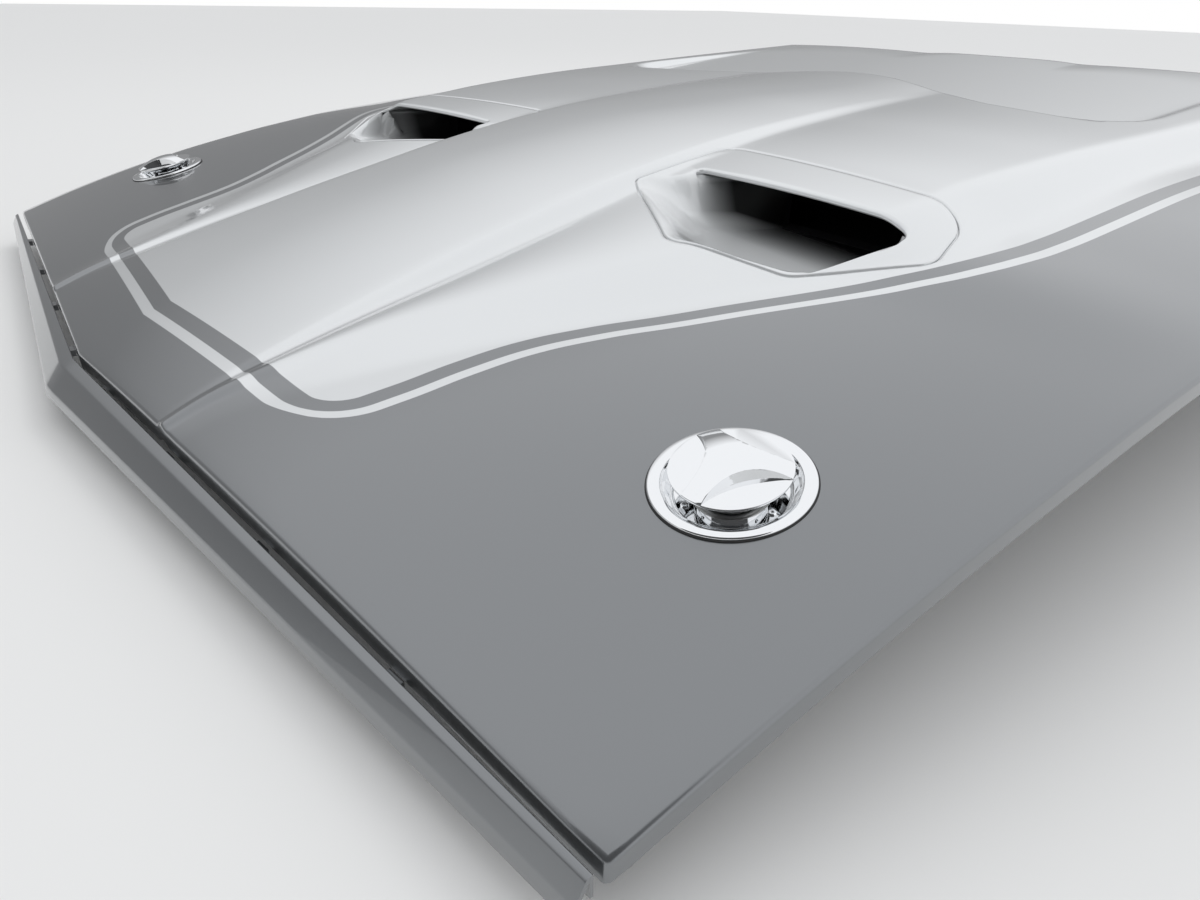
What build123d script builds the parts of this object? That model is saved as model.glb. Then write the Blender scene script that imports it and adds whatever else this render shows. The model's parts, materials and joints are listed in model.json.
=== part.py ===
"""A car bonnet with twin air scoops, twist locks, its pressed frame and its sprung four-bar hinges."""
from math import atan, atan2, cos, degrees, sin
import os

from build123d import *

os.makedirs("parts", exist_ok=True)

# The frame: X to the car's left, Y to the rear, Z up, in millimetres, with the bonnet shut on a level car.
# A station is a distance behind the nose's two corners, and a height is above them.

# Outer panel
SKIN = 2.0                 # thickness, measured straight down
HEM = 14.0                 # depth of the turned down edge
NOSE_HALF = 700.0          # half the width at the nose's corners
NOSE_APEX = 56.0           # how far the middle of the nose stands ahead of its corners
MIDDLE_FLARE = 20.0        # how much wider each side is at the middle station
MIDDLE_STATION = 400.0
REAR_FLARE = 32.0          # how much wider each side is at the rear
FULL_STATION = 1000.0      # the sides run straight behind this station
REAR = 1498.0              # station of the rear corners
REAR_BOW = 16.0            # how far the middle of the rear edge lies ahead of its corners
NOSE_ROUND = 5.0
REAR_ROUND = 14.0
REAR_HALF = NOSE_HALF + REAR_FLARE

# The origin is the middle of the four hinge bolts, at the underside of the hinges' feet
ORIGIN_STATION = REAR - 223.0
ORIGIN_HEIGHT = -14.0

# Half sections of the outer surface, as (sideways, height) at its breaks. The edge is given by its flare
SECTIONS = (
    # station, flare and height of the edge, foot of the raised part, shoulder, foot of the step,
    # edge of the plateau, height of the middle
    (-75, (-4, -25), (240, -2), (216, 0), (205, 0), (194, 0), 3),
    (0, (0, 0), (240, 28), (215, 30), (202, 30), (191, 31), 35),
    (65, (4, 21), (267, 44.5), (226, 48.5), (199, 47), (186, 50.5), 55),
    (130, (8, 39.5), (294, 58), (242, 65), (197, 63), (181, 69), 74.5),
    (250, (13.5, 68), (350, 79.5), (286, 92.5), (193.5, 90), (173.5, 101), 107.5),
    (330, (17.5, 83.5), (396, 93.5), (322, 111), (191, 108), (169.5, 120), 127),
    (410, (20.5, 97.5), (444, 109), (360, 129.5), (189, 126), (165.5, 138.5), 145.5),
    (500, (24, 110), (508, 131), (444, 152), (185, 147), (163, 156), 163),
    (610, (27, 121), (514, 143), (458, 168), (181, 167), (160, 173), 180),
    (780, (31, 135), (519, 161), (472, 184), (176, 186), (156, 190), 197),
    (REAR - 478, (32, 147), (527, 170), (489, 197), (170, 203), (151, 204), 211),
    (REAR + 42, (32, 165), (531, 186), (496, 224), (160, 229), (140, 229), 234),
)
SHEET_CROWN = 4.0          # bow of the flat side of the panel
FLANK_CROWN = 3.0          # bow of the raised flank
BEYOND = 30.0              # how far the form runs past the panel's sides
FORM_FLOOR = -260.0
FORM_TOP = 400.0

# The shallow field sunk into the panel ahead of the windscreen: the left half of its floor's outline, as
# (sideways, station, radius), and its floor, a plane that climbs to the rear
FIELD = ((0, REAR - 363, 200), (262, REAR - 490, 160), (428, REAR - 525, 70), (440, REAR + 100, 1))
FIELD_RISE = ((REAR - 444, 192.0), (REAR - 58, 226.0))
FIELD_WALL = (24.0, 13.0)  # how wide and how high its sloping wall is

# The scoop inserts; corners are the left one's, as (sideways, station, radius)
INSERT_REAR = 601.0
INSERT = ((316, 376, 35), (430, 408, 30), (513, 490, 25), (494, 564, 45), (178, INSERT_REAR, 20), (174, 462, 10))
MOUTH = ((204, 474, 12), (318, 390, 30), (430, 420, 26), (486, 470, 24), (476, 507, 18), (208, 526, 6))
BOWL = ((262, 478, 20), (342, 404, 24), (430, 424, 26), (480, 468, 24), (480, 550, 20), (262, 550, 20))
BOWL_DRAFT = 40.0          # slope of the bowl's sides from upright, in degrees
BOWL_ROUND = 12.0
DUCT = ((246, 480, 4), (476, 480, 4), (470, INSERT_REAR + 8, 6), (250, INSERT_REAR + 8, 6))
SEAM = 1.0                 # gap round an insert
INSERT_WALL = 2.5
RAMP_FRONT = (392.0, 113.0)   # station and height of the ramp's top
RAMP_REAR = (INSERT_REAR, 92.0)
FLANGE = 14.0              # width of the insert's flange under the skin
BOND = 0.3                 # gap where one sheet lies under another

# The air tray under the scoops
TRAY_HALF = 512.0
TRAY_GAP = 24.0            # from the inserts to the tray
TRAY_LONG = 148.0
TRAY_FRONT = INSERT_REAR + TRAY_GAP
TRAY_REAR = TRAY_FRONT + TRAY_LONG
TRAY_FLOOR = 78.0
TRAY_WALL = 3.0
TRAY_ROUND = 30.0
SEAL_DEPTH = 8.0
SEAL_WIDTH = 12.0
OUTLET_RADIUS = 60.0
OUTLET_LONG = 24.0
COLLAR_TOP = 142.0

# The pressed rails and ribs, each a channel that follows the skin
RAIL_DEPTH = 22.0
RAIL_WALL = 1.5
RAIL_WIDE = 50.0
NOSE_SET = 24.0            # from the nose's edge to the front rail
FRONT_RAIL_END = 28.0      # from the nose's corner to the rail's end
SIDE_SET = 16.0            # from the panel's side to a side rail
REAR_SET = 36.0            # from the rear corners to the rear rail
REAR_RAIL_WIDE = 66.0
RAIL_GAP = 5.0
RIB_WIDE = 50.0
FRONT_RIB = 95.0           # inner side of the front ribs
REAR_RIB_FRONT = 300.0     # inner side of the rear ribs at the tray, and at the rear rail
REAR_RIB_REAR = 244.0

# The rubber under the rails
REAR_SEAL_HALF = 600.0
REAR_SEAL_WIDE = 22.0
REAR_SEAL_DEPTH = 12.0
BUMP_SIDE = 600.0
BUMP_RADIUS = 12.0
BUMP_DEPTH = 14.0

# The lip moulding: its channel section at the middle and at the corner, (behind the nose's edge, height)
LIP_SEAM = 5.0
LIP_MIDDLE = ((-LIP_SEAM, 8), (-16, 4), (-32, -14), (-34, -22), (-31, -22), (-28, -13), (-14, 0.5), (-8, 3),
              (-8, -12), (-LIP_SEAM, -12))
LIP_CORNER = ((-LIP_SEAM, -1), (-9, -3), (-15, -15), (-16, -27), (-13, -27), (-12.3, -15.5), (-7.8, -6), (-7, -5),
              (-7, -16), (-LIP_SEAM, -16))
LIP_SHORT = 2.0            # how far it stops inside the nose's corners
LIP_TABS = (3 / 35, 11 / 35, 19 / 35, 27 / 35)     # their places, as shares of half the nose's width
TAB = (14.0, 6.0)

# The safety catch under the middle of the nose: its flange and its hook's line, (behind the nose's edge, height)
CATCH_HALF = 16.0
CATCH_WALL = 3.0
CATCH_LINE = ((46, 16), (46, -44), (24, -44), (24, -30))
CATCH_BEND = 7.0

# The twist locks
LOCK_STATION = 189.0
LOCK_INSIDE = 128.7        # from the panel's side to a lock's middle
LOCK_HOLE = 44.5           # hole in the skin
LOCK_SEAT = 0.5            # how far a lock's plane lies under the panel's surface
BEZEL_RADIUS = LOCK_HOLE + 6.0
BEZEL_INNER = LOCK_HOLE - 2.5
BEZEL_TOP = 3.3
BEZEL_EDGE = 1.3
BEZEL_SEAT = 1.1
BEZEL_WALL = 0.9
DISH_FLOOR = -8.0
DISH_WALL = 1.6
DISH_BACK = 9.0            # from the ring's inner edge to the dish's flat floor
NECK_HOLE = 24.0
KNOB_RADIUS = 37.0
KNOB_UNDER = 9.0
KNOB_CHAMFER = 1.5
KNOB_RIM = 12.5            # height of its rim
KNOB_TOP = 21.5            # height of its domed middle
NECK_RADIUS = 22.0
RECESS_FLOOR = 12.0
RECESS_ROUND = 45.0        # plan radius of each of its three finger recesses
RECESS_OFFSET = 60.0
RECESS_TURN = 96.5         # direction of the first one from the lock's X, in degrees
SHAFT_RADIUS = 8.0
SHAFT_PLAY = 0.06
SHAFT_END = -62.0
CROSS_RADIUS = 4.0
CROSS_LONG = 36.0
HOUSING_FLANGE = 56.0
HOUSING_FLOOR = -10.5
HOUSING_WALL = 2.5
FLANGE_DROP = 2.0          # how far the housing's flange falls to its rim
SLEEVE_RADIUS = 14.0
SLEEVE_NECK = 4.0
SLEEVE_END = -40.0

# The hinges: pivots of the left one, as (ahead of the rear corners, height)
BASE_REAR = (149.5, 90.0)
STRAP_REAR = (61.5, 122.0)
BASE_FRONT = (296.0, 15.0)
STRAP_FRONT = (108.5, 85.0)
WEB_INSIDE = 102.0         # from the panel's side to the inner face of the base's and the strap's web
PLATE = 4.0
PLATE_GAP = 5.0
PIN_RADIUS = 6.0
PIN_PLAY = 0.06
PIN_HEAD = 2.5
HEAD_RADIUS = 9.5
SIDE_PLAY = 0.2
BOSS = 13.0
OPEN_PLAY = 5.2            # play of the front pivot on the strap, where the linkage is opened
OPEN_BOSS = 18.0
OPEN_HEAD = 16.0
FOOT_WIDE = 40.0
FOOT_FRONT = 318.0         # the foot's ends, ahead of the rear corners
FOOT_REAR = 126.0
BOLT_SET = 20.0            # from the web's inner face to the bolts
BOLT_SPACING = 90.0
BOLT_HOLE = 4.5
STRAP_SIDE = 74.0          # width of the strap's top
STRAP_FRONT_END = 168.0    # its ends, ahead of the rear corners
STRAP_REAR_END = 28.0

# The springs: coils between a stud on the base and a stud on the rear link's ear
SPRING_FRONT = (302.0, 20.0)
SPRING_REAR = (140.0, 121.0)
SPRING_OUT = 24.0          # from the web's inner face to the spring's line
SPRING_RADIUS = 10.0
SPRING_LONG = 136.0
WIRE = 1.6                 # radius of its wire
STUD_RADIUS = 4.0
STUD_END = 5.0             # how far a stud runs past the spring's line
EAR = 8.0


def at(station, height):
    """The Y and Z of a station and a height."""
    return (station - ORIGIN_STATION, height - ORIGIN_HEIGHT)


def pivot_at(pivot):
    return at(REAR - pivot[0], pivot[1])


def side_at(station):
    """Half the panel's width at a station, read from the sections."""
    for fore, aft in zip(SECTIONS, SECTIONS[1:]):
        if station <= aft[0]:
            share = (station - fore[0]) / (aft[0] - fore[0])
            return NOSE_HALF + fore[1][0] + share * (aft[1][0] - fore[1][0])
    return REAR_HALF


def nose_at(sideways):
    """The station of the nose's edge."""
    return -NOSE_APEX * (1 - abs(sideways) / NOSE_HALF)


def lower(solid, drop):
    return solid.moved(Location((0, 0, -drop)))


def save(piece, name):
    piece.label = name
    export_step(piece, f"parts/{name}.step")


def save_pair(piece, name):
    save(piece, f"{name}_left")
    save(mirror(piece, about=Plane.YZ, mode=Mode.PRIVATE), f"{name}_right")


def outline(corners, radii, grow=0.0):
    """A plan outline from its corners, as (sideways, station), grown outward all round."""
    points = [(sideways, at(station, 0)[0]) for sideways, station in corners]
    with BuildSketch() as plan:
        with BuildLine():
            FilletPolyline(*points, radius=radii, close=True)
        make_face()
        if grow:
            offset(amount=grow)
    return plan.sketch


def rounded(table, grow=0.0):
    return outline([row[:2] for row in table], [row[2] for row in table], grow)


def column(plan, floor=FORM_FLOOR, top=FORM_TOP):
    """An upright prism over a plan outline."""
    with BuildPart() as prism:
        with BuildSketch(Plane.XY.offset(floor)):
            add(plan)
        extrude(amount=top - floor)
    return prism.part


def pressed(plan, top, bottom):
    """The sheet over a plan outline between two depths under the outer surface."""
    with BuildPart() as sheet:
        add(column(plan))
        add(lower(FORM, top), mode=Mode.INTERSECT)
        add(lower(FORM, bottom), mode=Mode.SUBTRACT)
    return sheet.part


def tilted(front, rear):
    """A plane that crosses the car level and climbs from one station and height to another."""
    (y0, z0), (y1, z1) = at(*front), at(*rear)
    climb = atan2(z1 - z0, y1 - y0)
    return Plane((0, 0, z0 - y0 * (z1 - z0) / (y1 - y0)), x_dir=(1, 0, 0), z_dir=(0, -sin(climb), cos(climb)))


# The form: all that lies under the outer surface, wider and longer than the panel
def ordinate(point, more=0.0):
    return (point[0], point[1] + more - ORIGIN_HEIGHT)


def across(point):
    return (-point[0], point[1])


with BuildPart() as form:
    for station, (flare, edge), foot, shoulder, step, plateau, middle in SECTIONS:
        side = NOSE_HALF + flare
        fall = BEYOND * (foot[1] - edge) / (side - foot[0])
        rim = (side + BEYOND, edge - fall)
        sheet_bow = ordinate(((rim[0] + foot[0]) / 2, (rim[1] + foot[1]) / 2), SHEET_CROWN)
        flank_bow = ordinate(((shoulder[0] + step[0]) / 2, (shoulder[1] + step[1]) / 2), FLANK_CROWN)
        rim, foot, shoulder, step, plateau = (ordinate(p) for p in (rim, foot, shoulder, step, plateau))
        low = (rim[0], FORM_FLOOR)
        with BuildSketch(Plane.XZ.offset(-at(station, 0)[0])):
            with BuildLine():
                for half in (Vector, across):
                    Line(half(low), half(rim))
                    ThreePointArc(half(rim), half(sheet_bow), half(foot))
                    Line(half(foot), half(shoulder))
                    ThreePointArc(half(shoulder), half(flank_bow), half(step))
                    Line(half(step), half(plateau))
                ThreePointArc(plateau, ordinate((0, middle)), across(plateau))
                Line(low, across(low))
            make_face()
    loft(ruled=True)
    field_floor = tilted(*FIELD_RISE)
    field = FIELD + tuple((-side, station, radius) for side, station, radius in reversed(FIELD[1:]))
    for rise in (0, 3):
        with BuildSketch(field_floor.offset(rise * FIELD_WALL[1])):
            add(rounded(field, rise * FIELD_WALL[0]))
    loft(ruled=True, mode=Mode.SUBTRACT)
FORM = form.part

# The panel's outline in plan
nose_y = at(0, 0)[0]
full_y = at(FULL_STATION, 0)[0]
rear_y = at(REAR, 0)[0]
with BuildSketch() as panel:
    with BuildLine():
        for side in (1, -1):
            Line((0, nose_y - NOSE_APEX), (side * NOSE_HALF, nose_y))
            ThreePointArc((side * NOSE_HALF, nose_y), (side * (NOSE_HALF + MIDDLE_FLARE), nose_y + MIDDLE_STATION),
                          (side * REAR_HALF, full_y))
            Line((side * REAR_HALF, full_y), (side * REAR_HALF, rear_y))
        ThreePointArc((REAR_HALF, rear_y), (0, rear_y - REAR_BOW), (-REAR_HALF, rear_y))
    make_face()
    fillet([v for v in panel.vertices() if v.Y > full_y + 1], REAR_ROUND)
    fillet([v for v in panel.vertices() if abs(v.X) > NOSE_HALF / 2 and v.Y < nose_y + 1], NOSE_ROUND)
with BuildSketch() as hem_ring:
    add(panel.sketch)
    add(offset(panel.sketch, amount=-SKIN, mode=Mode.PRIVATE), mode=Mode.SUBTRACT)

# The plane of the left lock, its Z standing out of the panel, seated on the form where the lock is
lock_axis = Axis((side_at(LOCK_STATION) - LOCK_INSIDE, at(LOCK_STATION, 0)[0], FORM_TOP), (0, 0, -1))
lock_point, lock_normal = max(FORM.find_intersection_points(lock_axis), key=lambda hit: hit[0].Z)
lock_plane = Plane(lock_point, x_dir=(1, 0, -lock_normal.X / lock_normal.Z), z_dir=lock_normal).offset(-LOCK_SEAT)
lock_axis = Axis(lock_plane.origin, lock_plane.z_dir)
lock_side = Plane(lock_plane.origin, x_dir=lock_plane.x_dir, z_dir=-lock_plane.y_dir)
with BuildPart() as lock_hole:
    with BuildSketch(lock_plane):
        Circle(LOCK_HOLE)
    extrude(amount=HEM + BEZEL_RADIUS, both=True)

# bonnet_skin
insert_hole = column(rounded(INSERT))
with BuildPart() as skin:
    add(pressed(panel.sketch, 0, SKIN))
    add(pressed(hem_ring.sketch, 0, HEM))
    for tool in (insert_hole, lock_hole.part):
        add(tool, mode=Mode.SUBTRACT)
        add(mirror(tool, about=Plane.YZ, mode=Mode.PRIVATE), mode=Mode.SUBTRACT)
save(skin.part, "bonnet_skin")

# scoop_insert: a cap flush with the skin, a flange under it, and a bowl whose floor runs under the cap's roof
ramp = tilted(RAMP_FRONT, RAMP_REAR)
over_all = FORM_TOP - FORM_FLOOR
with BuildPart() as under_ramp:
    with BuildSketch(ramp):
        Rectangle(4 * NOSE_HALF, 4 * REAR)
    extrude(amount=-over_all)
with BuildSketch() as flange_ring:
    add(rounded(INSERT, FLANGE))
    add(rounded(INSERT, -SEAM - INSERT_WALL), mode=Mode.SUBTRACT)
with BuildPart() as tub:
    add(column(rounded(MOUTH, INSERT_WALL)))
    add(column(rounded(DUCT, INSERT_WALL)))
    add(column(rounded(INSERT, -SEAM)), mode=Mode.INTERSECT)
    add(FORM, mode=Mode.INTERSECT)
    add(lower(under_ramp.part, INSERT_WALL), mode=Mode.SUBTRACT)
with BuildPart() as throat:
    add(column(rounded(DUCT)))
    add(lower(FORM, INSERT_WALL), mode=Mode.INTERSECT)
    add(under_ramp.part, mode=Mode.SUBTRACT)
with BuildPart() as bowl:
    with BuildSketch(ramp):
        add(rounded(BOWL))
    extrude(amount=2 * RAMP_FRONT[1], taper=-BOWL_DRAFT)
    floor_edges = bowl.faces().sort_by(Axis.Z)[0].edges()
    fillet(floor_edges, BOWL_ROUND)
    add(column(rounded(MOUTH)), mode=Mode.INTERSECT)
with BuildPart() as insert:
    add(pressed(rounded(INSERT, -SEAM), 0, INSERT_WALL))
    add(pressed(flange_ring.sketch, SKIN + BOND, SKIN + BOND + SKIN))
    add(tub.part)
    add(throat.part, mode=Mode.SUBTRACT)
    add(bowl.part, mode=Mode.SUBTRACT)
save_pair(insert.part, "scoop_insert")

# air_tray: it takes the air from both inserts to one round outlet
tray_table = ((-TRAY_HALF, TRAY_FRONT, TRAY_ROUND), (TRAY_HALF, TRAY_FRONT, TRAY_ROUND),
              (TRAY_HALF, TRAY_REAR, TRAY_ROUND), (-TRAY_HALF, TRAY_REAR, TRAY_ROUND))
tray_top = SKIN + BOND + SEAL_DEPTH + BOND
tray_low = at(0, TRAY_FLOOR)[1]
outlet_y = at((TRAY_FRONT + TRAY_REAR) / 2, 0)[0]
collar_low = at(0, RAMP_REAR[1])[1]
collar_high = at(0, COLLAR_TOP)[1]
collar_front = at(INSERT_REAR + SEAM, 0)[0]
collar_rear = at(TRAY_FRONT + TRAY_WALL, 0)[0]
collar_sides = (DUCT[3][0], DUCT[2][0])
with BuildPart() as tray:
    add(column(rounded(tray_table), floor=tray_low))
    add(lower(FORM, tray_top), mode=Mode.INTERSECT)
    add(column(rounded(tray_table, -TRAY_WALL), floor=tray_low + TRAY_WALL), mode=Mode.SUBTRACT)
    for side in (1, -1):
        middle = (side * sum(collar_sides) / 2, (collar_front + collar_rear) / 2, (collar_low + collar_high) / 2)
        wide = collar_sides[1] - collar_sides[0]
        high = collar_high - collar_low
        with Locations(middle):
            Box(wide + 2 * TRAY_WALL, collar_rear - collar_front, high + 2 * TRAY_WALL)
            Box(wide, collar_rear - collar_front + 2 * SEAM, high, mode=Mode.SUBTRACT)
    with Locations((0, outlet_y, tray_low + TRAY_WALL)):
        Cylinder(OUTLET_RADIUS + TRAY_WALL, OUTLET_LONG, align=(Align.CENTER, Align.CENTER, Align.MAX))
        Cylinder(OUTLET_RADIUS, OUTLET_LONG, align=(Align.CENTER, Align.CENTER, Align.MAX), mode=Mode.SUBTRACT)
save(tray.part, "air_tray")

# tray_seal: the foam ring between the tray and the skin
with BuildSketch() as seal_ring:
    add(rounded(tray_table, (SEAL_WIDTH - TRAY_WALL) / 2))
    add(rounded(tray_table, -(SEAL_WIDTH + TRAY_WALL) / 2), mode=Mode.SUBTRACT)
save(pressed(seal_ring.sketch, SKIN + BOND, SKIN + BOND + SEAL_DEPTH), "tray_seal")

# The rails and ribs; the left of each pair is given
rail_top = SKIN + BOND
rail_bottom = rail_top + RAIL_DEPTH
front_end = NOSE_HALF - FRONT_RAIL_END
rear_front = REAR - REAR_SET - REAR_RAIL_WIDE
behind_nose = NOSE_SET + RAIL_WIDE + RAIL_GAP
side_front = nose_at(front_end) + behind_nose
rib_out = FRONT_RIB + RIB_WIDE
RAILS = {
    "front_rail": ((0, nose_at(0) + NOSE_SET), (front_end, nose_at(front_end) + NOSE_SET),
                   (front_end, nose_at(front_end) + NOSE_SET + RAIL_WIDE), (0, nose_at(0) + NOSE_SET + RAIL_WIDE),
                   (-front_end, nose_at(front_end) + NOSE_SET + RAIL_WIDE),
                   (-front_end, nose_at(front_end) + NOSE_SET)),
    "rear_rail": ((SIDE_SET - REAR_HALF, rear_front), (REAR_HALF - SIDE_SET, rear_front),
                  (REAR_HALF - SIDE_SET, REAR - REAR_SET), (SIDE_SET - REAR_HALF, REAR - REAR_SET)),
    "side_rail_left": tuple(
        (side_at(station) - inside, station) for inside, station in (
            (SIDE_SET + RAIL_WIDE, side_front), (SIDE_SET, side_front), (SIDE_SET, MIDDLE_STATION),
            (SIDE_SET, FULL_STATION), (SIDE_SET, rear_front - RAIL_GAP),
            (SIDE_SET + RAIL_WIDE, rear_front - RAIL_GAP), (SIDE_SET + RAIL_WIDE, FULL_STATION),
            (SIDE_SET + RAIL_WIDE, MIDDLE_STATION))),
    "front_rib_left": ((FRONT_RIB, nose_at(FRONT_RIB) + behind_nose), (rib_out, nose_at(rib_out) + behind_nose),
                       (rib_out, TRAY_FRONT - RAIL_GAP), (FRONT_RIB, TRAY_FRONT - RAIL_GAP)),
    "rear_rib_left": ((REAR_RIB_FRONT, TRAY_REAR + RAIL_GAP), (REAR_RIB_FRONT + RIB_WIDE, TRAY_REAR + RAIL_GAP),
                      (REAR_RIB_REAR + RIB_WIDE, rear_front - RAIL_GAP), (REAR_RIB_REAR, rear_front - RAIL_GAP)),
}
for name, corners in RAILS.items():
    with BuildPart() as rail:
        add(pressed(outline(corners, 0), rail_top, rail_bottom))
        add(pressed(outline(corners, 0, -RAIL_WALL), 0, rail_bottom - RAIL_WALL), mode=Mode.SUBTRACT)
    if name.endswith("_left"):
        save_pair(rail.part, name.removesuffix("_left"))
    else:
        save(rail.part, name)

# rear_seal and bump_stop, the rubber under the rear and the front rails
under_rail = rail_bottom + BOND
seal_middle = REAR - REAR_SET - REAR_RAIL_WIDE / 2
with BuildSketch() as seal_strip:
    with Locations((0, at(seal_middle, 0)[0])):
        RectangleRounded(2 * REAR_SEAL_HALF, REAR_SEAL_WIDE, REAR_SEAL_WIDE / 4)
save(pressed(seal_strip.sketch, under_rail, under_rail + REAR_SEAL_DEPTH), "rear_seal")
with BuildSketch() as bump:
    with Locations((BUMP_SIDE, at(nose_at(BUMP_SIDE) + NOSE_SET + RAIL_WIDE / 2, 0)[0])):
        Circle(BUMP_RADIUS)
save_pair(pressed(bump.sketch, under_rail, under_rail + BUMP_DEPTH), "bump_stop")

# lip_moulding: a channel in two straight runs that meet at the nose's point, with tabs to the panel's hem
lip_half = NOSE_HALF - LIP_SHORT
nose_angle = degrees(atan2(NOSE_APEX, NOSE_HALF))
with BuildPart() as lip:
    for side in (1, -1):
        for sideways, section in ((0, LIP_MIDDLE), (side * lip_half, LIP_CORNER)):
            with BuildSketch(Plane.YZ.offset(sideways)):
                Polygon(*[at(nose_at(sideways) + behind, height) for behind, height in section], align=None)
        loft(ruled=True)
    for side in (1, -1):
        for tab in (NOSE_HALF * place for place in LIP_TABS):
            share = tab / lip_half
            tab_height = LIP_MIDDLE[-1][1] * (1 - share) + LIP_CORNER[-1][1] * share + TAB[1]
            tab_place = (side * tab, *at(nose_at(tab) - (LIP_SEAM + BOND) / 2, tab_height))
            with Locations(Location(tab_place, (0, 0, side * nose_angle))):
                Box(TAB[0], LIP_SEAM - BOND, TAB[1])
save(lip.part, "lip_moulding")

# safety_catch: a flange under the front rail and a hook that a second pull on the car's lever frees
catch_middle = nose_at(0) + NOSE_SET + RAIL_WIDE / 2
catch_plan = outline([(side * CATCH_HALF, catch_middle + end * CATCH_HALF)
                      for side, end in ((1, 1), (-1, 1), (-1, -1), (1, -1))], CATCH_WALL)
with BuildPart() as catch:
    with BuildSketch(Plane.YZ.offset(-CATCH_HALF / 2)):
        with BuildLine():
            FilletPolyline(*[at(nose_at(0) + behind, height) for behind, height in CATCH_LINE], radius=CATCH_BEND)
            offset(amount=CATCH_WALL / 2)
        make_face()
    extrude(amount=CATCH_HALF)
    add(lower(FORM, under_rail), mode=Mode.INTERSECT)
    add(pressed(catch_plan, under_rail, under_rail + CATCH_WALL))
save(catch.part, "safety_catch")

# lock_bezel: a flat ring with a dished floor
with BuildPart() as bezel:
    with BuildSketch(lock_side):
        Polygon((BEZEL_RADIUS, BEZEL_SEAT), (BEZEL_RADIUS, BEZEL_TOP - BEZEL_EDGE), (BEZEL_RADIUS - 2, BEZEL_TOP),
                (BEZEL_INNER, BEZEL_TOP), (BEZEL_INNER - 2, BEZEL_TOP - BEZEL_EDGE),
                (BEZEL_INNER - 5, DISH_FLOOR + 1), (BEZEL_INNER - DISH_BACK, DISH_FLOOR), (NECK_HOLE, DISH_FLOOR),
                (NECK_HOLE, DISH_FLOOR - DISH_WALL), (BEZEL_INNER - DISH_BACK / 2 - 1, DISH_FLOOR - DISH_WALL),
                (BEZEL_INNER - DISH_BACK / 2, DISH_FLOOR), (BEZEL_INNER - BEZEL_WALL, BEZEL_SEAT), align=None)
    revolve(axis=lock_axis)
save_pair(bezel.part, "lock_bezel")

# lock_knob: a domed disc with three finger recesses, its neck and shaft, and the cross pin that catches below
with BuildPart() as knob:
    with BuildSketch(lock_side):
        with BuildLine():
            Polyline((KNOB_RADIUS, KNOB_RIM), (KNOB_RADIUS, KNOB_UNDER + KNOB_CHAMFER),
                     (KNOB_RADIUS - KNOB_CHAMFER, KNOB_UNDER), (0, KNOB_UNDER), (0, KNOB_TOP))
            ThreePointArc((0, KNOB_TOP), (KNOB_RADIUS / 2, KNOB_TOP - (KNOB_TOP - KNOB_RIM) / 4),
                          (KNOB_RADIUS, KNOB_RIM))
        make_face()
    revolve(axis=lock_axis)
    with BuildSketch(lock_plane.offset(RECESS_FLOOR)):
        with PolarLocations(RECESS_OFFSET, 3, start_angle=RECESS_TURN):
            Circle(RECESS_ROUND)
    extrude(amount=KNOB_TOP, mode=Mode.SUBTRACT)
    with BuildSketch(lock_plane.offset(HOUSING_FLOOR + BOND)):
        Circle(NECK_RADIUS)
    extrude(amount=KNOB_UNDER - HOUSING_FLOOR)
    with BuildSketch(lock_plane.offset(SHAFT_END)):
        Circle(SHAFT_RADIUS)
    extrude(amount=KNOB_UNDER - SHAFT_END)
    cross_middle = lock_plane.offset(SHAFT_END + 2 * CROSS_RADIUS).origin
    with BuildSketch(Plane(cross_middle, x_dir=lock_plane.y_dir, z_dir=lock_plane.x_dir)):
        Circle(CROSS_RADIUS)
    extrude(amount=CROSS_LONG / 2, both=True)
save_pair(knob.part, "lock_knob")

# lock_housing: the cup under the skin, with the sleeve that guides the shaft
skin_under = LOCK_SEAT - SKIN - BOND
bore = SHAFT_RADIUS + SHAFT_PLAY
cup_out = LOCK_HOLE - BOND
cup_in = cup_out - HOUSING_WALL
cup_low = HOUSING_FLOOR - HOUSING_WALL
flange_top = skin_under - FLANGE_DROP
flange_low = flange_top - HOUSING_WALL
with BuildPart() as housing:
    with BuildSketch(lock_side):
        Polygon((bore, HOUSING_FLOOR), (cup_in, HOUSING_FLOOR), (cup_in, skin_under), (cup_out, skin_under),
                (HOUSING_FLANGE, flange_top), (HOUSING_FLANGE, flange_low), (cup_out, flange_low),
                (cup_out, cup_low), (SLEEVE_RADIUS, cup_low - SLEEVE_NECK), (SLEEVE_RADIUS, SLEEVE_END),
                (bore, SLEEVE_END), align=None)
    revolve(axis=lock_axis)
save_pair(housing.part, "lock_housing")


# The hinges. Each plate is drawn in the Y and Z plane at its own layer
def cross_pin(pivot, face, direction, head_radius):
    """A pin that stands out of a web, with a washer against the link and a head outside it."""
    y, z = pivot_at(pivot)
    reach = PLATE_GAP + PLATE + SIDE_PLAY
    for size, start, end in ((PIN_RADIUS, -PLATE / 2, reach + PIN_HEAD),
                             (head_radius, -PLATE / 2, PLATE_GAP - SIDE_PLAY),
                             (head_radius, reach, reach + PIN_HEAD)):
        with Locations((face + direction * (start + end) / 2, y, z)):
            Cylinder(size, end - start, rotation=(0, 90, 0))


def stud(place, start, end):
    with Locations(((start + end) / 2, *pivot_at(place))):
        Cylinder(STUD_RADIUS, end - start, rotation=(0, 90, 0))


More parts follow.
